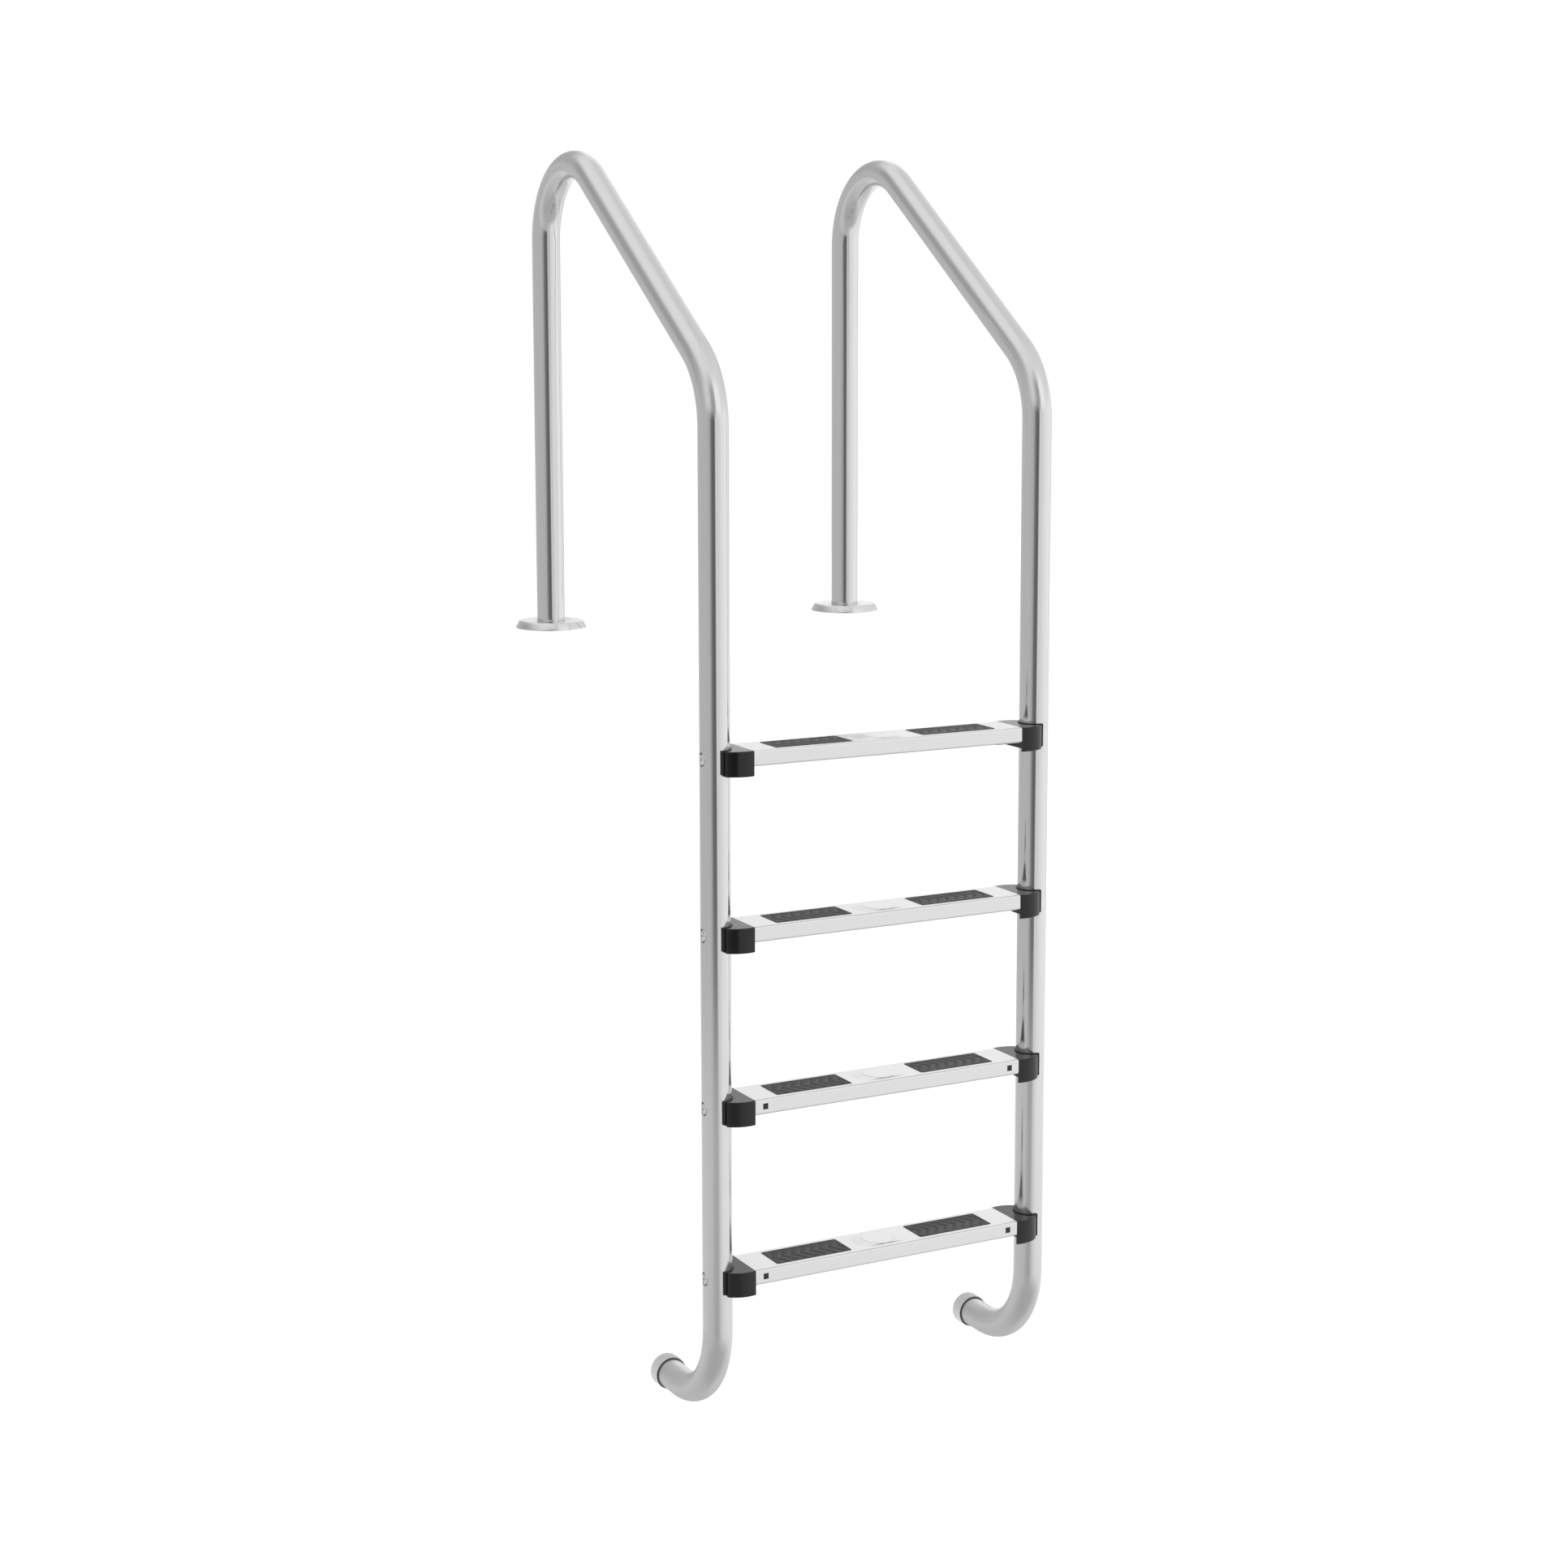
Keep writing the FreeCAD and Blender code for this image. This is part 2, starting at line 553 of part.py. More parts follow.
def build_cap(step, side):
    body = new_body(f"tread_{step + 1}_{side}_cap")
    name = f"cap_{step + 1}_{side}"
    inner = ("-cap_reach", "tread_depth / 2 + cap_flare")
    ear = ("-cap_ear", "tube_od / 2 + cap_wrap")
    plan = new_sketch(body, f"{name}_plan", "XY_Plane")
    lines = []
    for x, y in (inner, ear):
        low = FreeCAD.Vector(size_of(x), -size_of(y), 0)
        high = FreeCAD.Vector(size_of(x), size_of(y), 0)
        lines.append(plan.addGeometry(Part.LineSegment(low, high), False))
        pin(plan, lines[-1], 1, x, f"-({y})")
        pin(plan, lines[-1], 2, x, y)
    for hand, end in ((-1, 1), (1, 2)):
        a = (inner[0], f"{hand} * ({inner[1]})")
        b = (ear[0], f"{hand} * ({ear[1]})")
        arc, (first, last) = add_bow(plan, a, b, "cap_bow", hand)
        plan.addConstraint(Sketcher.Constraint("Coincident", arc, first, lines[0], end))
        plan.addConstraint(Sketcher.Constraint("Coincident", arc, last, lines[1], end))
    new_feature(body, "Pad", f"{name}_block", plan, length="cap_height", reverse=True)
    ear_x = -size_of("cap_ear")
    round_edges(body, f"{name}_ears", "cap_round",
                lambda m, b: b.ZLength > 1 and near(m.x, ear_x))
    inner_x = -size_of("cap_reach")
    bottom = -size_of("cap_height")
    round_edges(body, f"{name}_rim", "cap_edge",
                lambda m, b: (near(m.z, 0) or near(m.z, bottom)) and not near(m.x, inner_x))
    bore = new_sketch(body, f"{name}_bore_plan", "XY_Plane", "1")
    add_circle(bore, "0", "0", "tube_od / 2 + liner_wall + 2 * press_clear")
    new_feature(body, "Pocket", f"{name}_bore", bore, length="cap_height + 2")
    skirt = new_sketch(body, f"{name}_skirt_plan", "YZ_Plane", "-cap_reach")
    width = "tread_depth / 2 + cap_flare - cap_wall"
    add_box_outline(skirt, f"-({width})", width, "-cap_height - 1", "-tread_height - cap_floor")
    new_feature(body, "Pocket", f"{name}_skirt", skirt, reverse=True,
                length="cap_reach - tube_od / 2 - liner_wall - cap_wall")
    plug = new_sketch(body, f"{name}_plug_plan", "YZ_Plane", "-cap_reach")
    half = "tread_depth / 2 - sheet_gauge - plug_clear"
    top = "-sheet_gauge - plug_clear"
    low = "-tread_height + sheet_gauge + plug_clear"
    add_box_outline(plug, f"-({half})", half, low, top)
    new_feature(body, "Pad", f"{name}_plug", plug, length="plug_length", reverse=True)
    round_edges(body, f"{name}_plug_corners", "tread_round - sheet_gauge",
                lambda m, b: m.x < inner_x - 1 and b.XLength > 1)
    hollow = new_sketch(body, f"{name}_hollow_plan", "YZ_Plane", "-cap_reach - plug_length")
    add_box_outline(hollow, f"-({half} - plug_wall)", f"{half} - plug_wall",
                    f"{low} + plug_wall", f"{top} - plug_wall")
    new_feature(body, "Pocket", f"{name}_hollow", hollow, length="plug_length", reverse=True)
    seat = new_sketch(body, f"{name}_nut_plan", "YZ_Plane", "-cap_reach - plug_length")
    add_hexagon(seat, "nut_flats + 2 * nut_clear", "0", "-bolt_drop")
    new_feature(body, "Pocket", f"{name}_nut_seat", seat, length="plug_length + nut_sink",
                reverse=True)
    drill = new_sketch(body, f"{name}_bolt_plan", "YZ_Plane", "-cap_reach")
    add_circle(drill, "0", "-bolt_drop", "bolt_dia / 2 + bolt_clear")
    new_feature(body, "Pocket", f"{name}_bolt_hole", drill, length="cap_reach", reverse=True)
    if step in SNAPPED:
        front = -SIDES[side]
        tab = new_sketch(body, f"{name}_tab_plan", "XZ_Plane", f"{-front} * ({half})")
        middle = "-cap_reach - snap_inset"
        wide = "snap_wide / 2 - snap_clear"
        high = "snap_high / 2 - snap_clear"
        add_box_outline(tab, f"{middle} - ({wide})", f"{middle} + {wide}",
                        f"-snap_drop - ({high})", f"-snap_drop + {high}")
        new_feature(body, "Pad", f"{name}_tab", tab, reverse=front > 0,
                    length="plug_clear + sheet_gauge - snap_clear")
    place(body, f"{SIDES[side]} * rail_spacing / 2", "-rail_reach", tread_level(step),
          turn=180 if side == "left" else None)
    nodes.append(body)


def build_liner(step, side):
    body = new_body(f"tread_{step + 1}_{side}_liner")
    name = f"liner_{step + 1}_{side}"
    ring = new_sketch(body, f"{name}_ring", "XY_Plane", "liner_rise")
    add_circle(ring, "0", "0", "tube_od / 2 + press_clear")
    add_circle(ring, "0", "0", "tube_od / 2 + press_clear + liner_wall")
    new_feature(body, "Pad", f"{name}_sleeve", ring, reverse=True,
                length="cap_height + liner_rise - liner_short")
    away = new_sketch(body, f"{name}_away", "XY_Plane", "liner_rise + 1")
    add_box_outline(away, "liner_past", "tube_od", "-tube_od", "tube_od")
    new_feature(body, "Pocket", f"{name}_half", away, length="cap_height + liner_rise + 2")
    drill = new_sketch(body, f"{name}_bolt_plan", "YZ_Plane", "-cap_reach")
    add_circle(drill, "0", "-bolt_drop", "bolt_dia / 2 + bolt_clear")
    new_feature(body, "Pocket", f"{name}_bolt_hole", drill, length="cap_reach", reverse=True)
    place(body, f"{SIDES[side]} * rail_spacing / 2", "-rail_reach", tread_level(step),
          turn=180 if side == "left" else None)
    nodes.append(body)


for step in range(TREADS):
    for side in SIDES:
        build_cap(step, side)
        build_liner(step, side)

# ---------------------------------------------------------------- bolts, washers, nuts
# One button-head bolt per cap runs in through both walls of the tube and the cap to a
# captive nut. Head and washer sit in a dimple of the tube.
HEAD_SEAT = f"{DIMPLE_FLOOR} + washer_gauge"
NUT_SEAT = "cap_reach - nut_sink"


def build_bolt(name):
    body = new_body(name)
    tip = f"-({NUT_SEAT} + nut_height + bolt_past)"
    face = f"{HEAD_SEAT} + head_height"
    profile = new_sketch(body, f"{name}_profile", "XZ_Plane")
    add_outline(profile, [
        (tip, "0"), (tip, "bolt_dia / 2"), (HEAD_SEAT, "bolt_dia / 2"), (HEAD_SEAT, "head_dia / 2"),
        (f"{HEAD_SEAT} + head_height / 4", "head_dia / 2"), (face, "head_dia / 3.4"), (face, "0")])
    turn_about(body, "Revolution", f"{name}_turned", profile, "H_Axis")
    middle = size_of(f"{HEAD_SEAT} + head_height / 4")
    outer = size_of(face)
    round_edges(body, f"{name}_dome", "head_height / 2.5",
                lambda m, b: b.XLength < 0.01 and (near(m.x, middle) or near(m.x, outer)))
    key = new_sketch(body, f"{name}_key_plan", "YZ_Plane", face)
    add_hexagon(key, "key_flats", "0", "0")
    new_feature(body, "Pocket", f"{name}_key", key, length="key_sink")
    return body


def build_washer(name):
    body = new_body(name)
    profile = new_sketch(body, f"{name}_profile", "XZ_Plane")
    add_box_outline(profile, DIMPLE_FLOOR, HEAD_SEAT, "bolt_dia / 2 + bolt_clear",
                    "dimple_dia / 2 - washer_clear")
    turn_about(body, "Revolution", f"{name}_disc", profile, "H_Axis")
    round_edges(body, f"{name}_rim", "washer_gauge / 3",
                lambda m, b: near(m.x, size_of(HEAD_SEAT)) and b.ZLength > size_of("bolt_dia + 2"))
    return body


def build_nut(name):
    body = new_body(name)
    hexagon = new_sketch(body, f"{name}_plan", "YZ_Plane", f"-({NUT_SEAT})")
    add_hexagon(hexagon, "nut_flats", "0", "0")
    add_circle(hexagon, "0", "0", "bolt_dia / 2 + thread_clear")
    new_feature(body, "Pad", f"{name}_block", hexagon, length="nut_height", reverse=True)
    return body


for side in SIDES:
    for kind, build in (("bolts", build_bolt), ("washers", build_washer), ("nuts", build_nut)):
        pieces = []
        for step in range(TREADS):
            piece = build(f"{side}_{kind}_{step + 1}")
            place(piece, f"{SIDES[side]} * rail_spacing / 2", "-rail_reach",
                  f"{tread_level(step)} - bolt_drop", turn=180 if side == "left" else None)
            pieces.append(piece)
        group = doc.addObject("Part::Compound", f"{side}_{kind}")
        group.Label = f"{side}_{kind}"
        group.Links = pieces
        nodes.append(group)

# ---------------------------------------------------------------- foot bumpers
# Pale rubber caps pushed over the ends of the feet rest on the pool wall. A dark ring
# seals the mouth of each. In their own frame the tube ends at the origin.


def build_bumper(side):
    body = new_body(f"{side}_foot_bumper")
    bore, grip = "tube_od / 2 + press_clear", "bumper_grip"
    outer = "tube_od / 2 + bumper_wall"
    mouth = "tube_od / 2 + gasket_wall + press_clear"
    profile = new_sketch(body, f"{side}_bumper_profile", "YZ_Plane")
    add_outline(profile, [
        ("bumper_end", "0"), ("bumper_end", outer), (f"-{grip}", outer), (f"-{grip}", mouth),
        (f"-{grip} + gasket_wide", mouth), (f"-{grip} + gasket_wide", bore),
        ("press_clear", bore), ("press_clear", "0")])
    turn_about(body, "Revolution", f"{side}_bumper_cup", profile, "H_Axis")
    end = size_of("bumper_end")
    round_edges(body, f"{side}_bumper_nose", "bumper_round", lambda m, b: near(m.y, end))
    place(body, f"{SIDES[side]} * rail_spacing / 2", "-rail_reach + foot_run", "-foot_drop")
    nodes.append(body)


def build_gasket(side):
    body = new_body(f"{side}_bumper_seal")
    profile = new_sketch(body, f"{side}_seal_profile", "YZ_Plane")
    add_box_outline(profile, "-bumper_grip", "-bumper_grip + gasket_wide - press_clear",
                    "tube_od / 2 + press_clear", "tube_od / 2 + gasket_wall")
    turn_about(body, "Revolution", f"{side}_seal_ring", profile, "H_Axis")
    place(body, f"{SIDES[side]} * rail_spacing / 2", "-rail_reach + foot_run", "-foot_drop")
    nodes.append(body)


for side in SIDES:
    build_bumper(side)
    build_gasket(side)

# ---------------------------------------------------------------- checks and export
doc.recompute()
for item in doc.Objects:
    if "Invalid" in item.State or "Error" in item.State:
        raise ValueError(f"{item.Label} did not build: {item.State}")
for node in nodes:
    shape = node.Shape
    if shape.isNull() or not shape.isValid():
        raise ValueError(f"{node.Label} has no valid shape")
    shape.exportStep(f"parts/{node.Label}.step")
    print(node.Label, len(shape.Solids), round(shape.Volume, 1))
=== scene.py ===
from math import atan2, pi, radians

import bmesh
import bpy
from mathutils import Matrix, Vector


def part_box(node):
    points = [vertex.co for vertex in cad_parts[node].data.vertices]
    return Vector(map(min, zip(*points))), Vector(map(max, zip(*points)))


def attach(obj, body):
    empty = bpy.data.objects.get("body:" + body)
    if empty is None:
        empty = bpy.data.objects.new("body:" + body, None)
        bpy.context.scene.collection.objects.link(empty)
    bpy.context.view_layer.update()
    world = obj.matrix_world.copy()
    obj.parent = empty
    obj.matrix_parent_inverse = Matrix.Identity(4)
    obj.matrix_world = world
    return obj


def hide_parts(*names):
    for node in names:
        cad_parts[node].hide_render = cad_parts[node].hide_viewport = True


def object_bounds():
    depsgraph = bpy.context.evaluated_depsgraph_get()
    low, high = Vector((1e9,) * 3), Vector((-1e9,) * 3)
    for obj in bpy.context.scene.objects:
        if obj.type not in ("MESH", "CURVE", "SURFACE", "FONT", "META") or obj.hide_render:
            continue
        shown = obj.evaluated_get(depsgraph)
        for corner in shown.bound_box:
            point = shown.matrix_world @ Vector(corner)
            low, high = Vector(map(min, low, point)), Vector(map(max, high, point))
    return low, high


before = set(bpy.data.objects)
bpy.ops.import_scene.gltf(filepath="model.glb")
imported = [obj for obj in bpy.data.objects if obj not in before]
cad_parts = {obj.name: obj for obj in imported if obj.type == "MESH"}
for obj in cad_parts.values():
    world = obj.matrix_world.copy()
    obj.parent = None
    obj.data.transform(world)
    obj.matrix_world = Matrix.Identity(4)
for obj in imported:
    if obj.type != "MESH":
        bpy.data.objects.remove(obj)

cad_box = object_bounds()

# ------------------------------------------------------------------ studio
# The ladder hangs free over a plain pale floor in a white room, the way pool fittings
# are shown for sale. Wide soft light comes from one side, with a narrow gap between
# the light and its grey neighbour, which is what draws the dark line down each tube.
CAMERA_PLACE = (-1.8971, -3.8896, 0.4889)
CAMERA_PITCH = radians(7.807)     # down from level
CAMERA_YAW = radians(28.451)      # from +Y towards +X
CAMERA_LENS = 61.728              # millimetres, on a 36 mm sensor
CAMERA_SHIFT = (-0.02065, -0.06522)
FLOOR_DROP = 0.30
FLOOR_SIZE = 30.0

lens = bpy.data.cameras.new("camera")
lens.sensor_width = 36.0
lens.lens = CAMERA_LENS
lens.shift_x, lens.shift_y = CAMERA_SHIFT
camera = bpy.data.objects.new("camera", lens)
camera.location = CAMERA_PLACE
camera.rotation_euler = (pi / 2 - CAMERA_PITCH, 0.0, -CAMERA_YAW)
bpy.context.scene.collection.objects.link(camera)
bpy.context.scene.camera = camera
bpy.context.scene.view_settings.view_transform = "Standard"


# Greys as (degrees round the room, grey): level with the ladder, and in four bands that
# fade in between two heights, from the first to the second.
LEVEL_GREYS = (
    (-180, 1.00), (-174, 0.95), (-163, 0.56), (-150, 0.58), (-125, 0.54), (-45, 0.52),
    (-28, 0.48), (-18, 0.32), (-10, 0.17), (8, 0.11), (15, 0.24), (21, 0.84), (30, 0.72),
    (60, 0.86), (100, 0.97), (140, 0.94), (161, 0.58), (174, 0.92), (180, 1.00))
LOW_GREYS = (
    (-180, 0.92), (-130, 0.66), (-40, 0.62), (-8, 0.50), (12, 0.52), (30, 0.74), (55, 0.90),
    (110, 0.90), (180, 0.92))
HIGH_GREYS = (
    (-180, 0.98), (-172, 0.66), (-160, 0.46), (-121, 0.47), (-112, 0.40), (-95, 0.40),
    (-60, 0.52), (-35, 0.72), (-15, 0.70), (2, 0.42), (22, 0.38), (38, 1.00), (60, 1.00),
    (82, 0.82), (150, 0.74), (168, 0.88), (180, 0.98))
UNDER_GREYS = (
    (-180, 0.62), (-107, 0.60), (-75, 0.52), (-43, 0.46), (54, 0.48), (86, 0.60), (114, 0.74),
    (180, 0.62))
ABOVE_GREYS = (
    (-180, 0.80), (-110, 0.86), (-60, 0.84), (120, 0.74), (160, 0.70), (180, 0.80))
BANDS = ((LOW_GREYS, -0.235, -0.30), (UNDER_GREYS, -0.42, -0.62),
         (HIGH_GREYS, 0.08, 0.30), (ABOVE_GREYS, 0.52, 0.86))


def paint_round(tree, around, stops):
    """A colour ramp round the room from (degrees, grey) stops; returns its colour socket."""
    ramp = tree.nodes.new("ShaderNodeValToRGB")
    elements = ramp.color_ramp.elements
    while len(elements) > 1:
        elements.remove(elements[-1])
    for index, (degrees, grey) in enumerate(stops):
        position = 0.5 + degrees / 360
        element = elements[0] if index == 0 else elements.new(position)
        element.position = position
        element.color = (grey, grey, grey, 1.0)
    tree.links.new(around, ramp.inputs["Fac"])
    return ramp.outputs["Color"]


def paint_room():
    """Light room for reflections; what the camera itself sees behind the ladder is white."""
    room = bpy.data.worlds.new("room")
    bpy.context.scene.world = room
    room.use_nodes = True
    tree = room.node_tree
    nodes, links = tree.nodes, tree.links
    nodes.clear()
    place = nodes.new("ShaderNodeTexCoord")
    turn = nodes.new("ShaderNodeMapping")
    turn.inputs["Rotation"].default_value[2] = pi / 2 + CAMERA_YAW
    links.new(place.outputs["Generated"], turn.inputs["Vector"])
    round_room = nodes.new("ShaderNodeTexGradient")
    round_room.gradient_type = "RADIAL"
    links.new(turn.outputs["Vector"], round_room.inputs["Vector"])
    height = nodes.new("ShaderNodeSeparateXYZ")
    links.new(place.outputs["Generated"], height.inputs["Vector"])
    shade = paint_round(tree, round_room.outputs["Fac"], LEVEL_GREYS)
    for greys, start, end in BANDS:
        fade = nodes.new("ShaderNodeMapRange")
        fade.interpolation_type = "SMOOTHSTEP"
        fade.inputs["From Min"].default_value = start
        fade.inputs["From Max"].default_value = end
        links.new(height.outputs["Z"], fade.inputs["Value"])
        mix = nodes.new("ShaderNodeMix")
        mix.data_type = "RGBA"
        links.new(fade.outputs["Result"], mix.inputs["Factor"])
        links.new(shade, mix.inputs["A"])
        links.new(paint_round(tree, round_room.outputs["Fac"], greys), mix.inputs["B"])
        shade = mix.outputs["Result"]
    lit = nodes.new("ShaderNodeBackground")
    links.new(shade, lit.inputs["Color"])
    seen = nodes.new("ShaderNodeBackground")
    seen.inputs["Color"].default_value = (1.0, 1.0, 1.0, 1.0)
    path = nodes.new("ShaderNodeLightPath")
    choose = nodes.new("ShaderNodeMixShader")
    links.new(path.outputs["Is Camera Ray"], choose.inputs["Fac"])
    links.new(lit.outputs["Background"], choose.inputs[1])
    links.new(seen.outputs["Background"], choose.inputs[2])
    out = nodes.new("ShaderNodeOutputWorld")
    links.new(choose.outputs["Shader"], out.inputs["Surface"])


def new_finish(name, colour, metallic=0.0, specular=0.5):
    """A material with one Principled shader; returns it with its tree and the shader."""
    material = bpy.data.materials.new(name)
    material.use_nodes = True
    tree = material.node_tree
    shader = tree.nodes["Principled BSDF"]
    shader.inputs["Base Color"].default_value = (*colour, 1.0)
    shader.inputs["Metallic"].default_value = metallic
    shader.inputs["Specular IOR Level"].default_value = specular
    return material, tree, shader


def lay_floor():
    """A wide pale sheet under the ladder; it doesn't show in the steel."""
    material, _, shader = new_finish("pale_floor", (0.86, 0.86, 0.86))
    shader.inputs["Roughness"].default_value = 0.9
    shader.inputs["Emission Color"].default_value = (1.0, 1.0, 1.0, 1.0)
    shader.inputs["Emission Strength"].default_value = 0.46
    bm = bmesh.new()
    bmesh.ops.create_grid(bm, x_segments=1, y_segments=1, size=FLOOR_SIZE / 2)
    bmesh.ops.translate(bm, verts=bm.verts, vec=(0.0, 0.0, cad_box[0].z - FLOOR_DROP))
    mesh = bpy.data.meshes.new("floor")
    bm.to_mesh(mesh)
    bm.free()
    mesh.materials.append(material)
    floor = bpy.data.objects.new("floor", mesh)
    floor.visible_glossy = False
    bpy.context.scene.collection.objects.link(floor)


paint_room()
lay_floor()

# ------------------------------------------------------------------ rails
# Each side is one length of 43 mm stainless tube, bent three times: over the top, where
# the handrail meets the upright, and at the foot. It is polished to a soft shine along
# its length, with faint hairlines and the odd smudge.
TUBE_RADIUS = 0.0215
TUBE_WALL = 0.0015
TUBE_SIDES = 96
BEND_STEPS = 36
REACH = 0.578
HIGH_CORNER = 0.814
LOW_CORNER = 0.400
FOOT_DROP = 1.0755
FOOT_RUN = 0.178
TOP_BEND, LOW_BEND, FOOT_BEND = 0.111, 0.128, 0.122
TREADS = 4
BOLT_DROP = 0.013
DIMPLE_RADIUS = 0.0088
DIMPLE_MOUTH = 0.0101
DIMPLE_FLOOR = 0.017
DIMPLE_WALL = 0.0012
DIMPLE_SIDES = 64
BOLT_HOLE = 0.0044                # left open in the floor of each dimple
RIM_PASSES = 3
CUP_CREASE = 0.6                  # radians
STEEL = (0.80, 0.803, 0.806)
DULL_LENGTH = (2.35, 2.85)        # along the tube, from its foot on the deck
DULL_ROUGHNESS = 0.22
SIDES = {"left": -1, "right": 1}


def new_group(name, inputs, outputs):
    """An empty shader node group with named sockets; returns it with its two end nodes."""
    group = bpy.data.node_groups.new(name, "ShaderNodeTree")
    kinds = {"vector": "NodeSocketVector", "value": "NodeSocketFloat", "colour": "NodeSocketColor"}
    for label, kind, start in inputs:
        socket = group.interface.new_socket(name=label, in_out="INPUT", socket_type=kinds[kind])
        if start is not None:
            socket.default_value = start
    for label, kind in outputs:
        group.interface.new_socket(name=label, in_out="OUTPUT", socket_type=kinds[kind])
    return group, group.nodes.new("NodeGroupInput"), group.nodes.new("NodeGroupOutput")


def calculate(tree, operation, first, second, clamp=False):
    """A maths node; each side is a socket or a number. Returns its result socket."""
    node = tree.nodes.new("ShaderNodeMath")
    node.operation = operation
    node.use_clamp = clamp
    for socket, value in zip(node.inputs, (first, second)):
        if isinstance(value, (int, float)):
            socket.default_value = value
        else:
            tree.links.new(value, socket)
    return node.outputs["Value"]


def make_surface_group():
    """Fine grain over larger soft patches: shade, roughness and height of a surface."""
    group, given, out = new_group("surface_grain", [
        ("Vector", "vector", None), ("Stretch", "vector", (1.0, 1.0, 1.0)),
        ("Grain Scale", "value", 400.0), ("Patch Scale", "value", 9.0),
        ("Roughness", "value", 0.3), ("Roughness Spread", "value", 0.1)],
        [("Shade", "value"), ("Roughness", "value"), ("Height", "value")])
    stretch = group.nodes.new("ShaderNodeVectorMath")
    stretch.operation = "MULTIPLY"
    group.links.new(given.outputs["Vector"], stretch.inputs[0])
    group.links.new(given.outputs["Stretch"], stretch.inputs[1])
    grain = group.nodes.new("ShaderNodeTexNoise")
    grain.inputs["Detail"].default_value = 3.0
    group.links.new(stretch.outputs["Vector"], grain.inputs["Vector"])
    group.links.new(given.outputs["Grain Scale"], grain.inputs["Scale"])
    patch = group.nodes.new("ShaderNodeTexNoise")
    patch.inputs["Detail"].default_value = 4.0
    patch.inputs["Distortion"].default_value = 0.6
    group.links.new(given.outputs["Vector"], patch.inputs["Vector"])
    group.links.new(given.outputs["Patch Scale"], patch.inputs["Scale"])
    both = calculate(group, "ADD", calculate(group, "MULTIPLY", grain.outputs["Fac"], 0.4),
                     calculate(group, "MULTIPLY", patch.outputs["Fac"], 0.6))
    swing = calculate(group, "MULTIPLY", calculate(group, "SUBTRACT", both, 0.5),
                      given.outputs["Roughness Spread"])
    rough = calculate(group, "ADD", given.outputs["Roughness"], swing, clamp=True)
    group.links.new(both, out.inputs["Shade"])
    group.links.new(rough, out.inputs["Roughness"])
    group.links.new(grain.outputs["Fac"], out.inputs["Height"])
    return group


def read_place(tree, attribute=None):
    """The vector that a finish is laid on: Object coordinates, or one of the piece's own."""
    if attribute is None:
        return tree.nodes.new("ShaderNodeTexCoord").outputs["Object"]
    node = tree.nodes.new("ShaderNodeAttribute")
    node.attribute_name = attribute
    return node.outputs["Vector"]


def mix_colours(tree, share, first, second):
    """Colour between two, each a tuple or a socket, by a share from 0 to 1."""
    mix = tree.nodes.new("ShaderNodeMix")
    mix.data_type = "RGBA"
    tree.links.new(share, mix.inputs["Factor"])
    for label, colour in (("A", first), ("B", second)):
        if isinstance(colour, tuple):
            mix.inputs[label].default_value = (*colour, 1.0)
        else:
            tree.links.new(colour, mix.inputs[label])
    return mix.outputs["Result"]


def add_grain(tree, shader, place, dark, light, height, **values):
    """Puts the surface group into a material, between two shades of its colour."""
    use = tree.nodes.new("ShaderNodeGroup")
    use.node_tree = surface_group
    tree.links.new(place, use.inputs["Vector"])
    for label, value in values.items():
        use.inputs[label.replace("_", " ").title()].default_value = value
    colour = mix_colours(tree, use.outputs["Shade"], dark, light)
    tree.links.new(colour, shader.inputs["Base Color"])
    tree.links.new(use.outputs["Roughness"], shader.inputs["Roughness"])
    bump = tree.nodes.new("ShaderNodeBump")
    bump.inputs["Strength"].default_value = 1.0
    bump.inputs["Distance"].default_value = height
    tree.links.new(use.outputs["Height"], bump.inputs["Height"])
    tree.links.new(bump.outputs["Normal"], shader.inputs["Normal"])
    return colour


def finish_steel(name, colour, place=None, contrast=0.06, **values):
    material, tree, shader = new_finish(name, colour, metallic=1.0)
    dark = tuple(part * (1.0 - contrast) for part in colour)
    light = tuple(min(part * (1.0 + contrast), 1.0) for part in colour)
    add_grain(tree, shader, read_place(tree, place), dark, light, **values)
    return material


def dull_foot(material):
    """The last stretch of the tube stands in the water and has lost some of its polish."""
    tree = material.node_tree
    rough = tree.nodes["Principled BSDF"].inputs["Roughness"]
    along = tree.nodes.new("ShaderNodeSeparateXYZ")
    tree.links.new(read_place(tree, "tube_space"), along.inputs["Vector"])
    fade = tree.nodes.new("ShaderNodeMapRange")
    fade.interpolation_type = "SMOOTHSTEP"
    fade.inputs["From Min"].default_value, fade.inputs["From Max"].default_value = DULL_LENGTH
    fade.inputs["To Max"].default_value = DULL_ROUGHNESS
    tree.links.new(along.outputs["Z"], fade.inputs["Value"])
    tree.links.new(calculate(tree, "ADD", rough.links[0].from_socket, fade.outputs["Result"]),
                   rough)


surface_group = make_surface_group()
tube_steel = finish_steel("tube_steel", STEEL, "tube_space", contrast=0.025,
                          stretch=(1.0, 1.0, 0.02), grain_scale=900.0, patch_scale=14.0,
                          roughness=0.13, roughness_spread=0.03, height=0.0000008)
dull_foot(tube_steel)


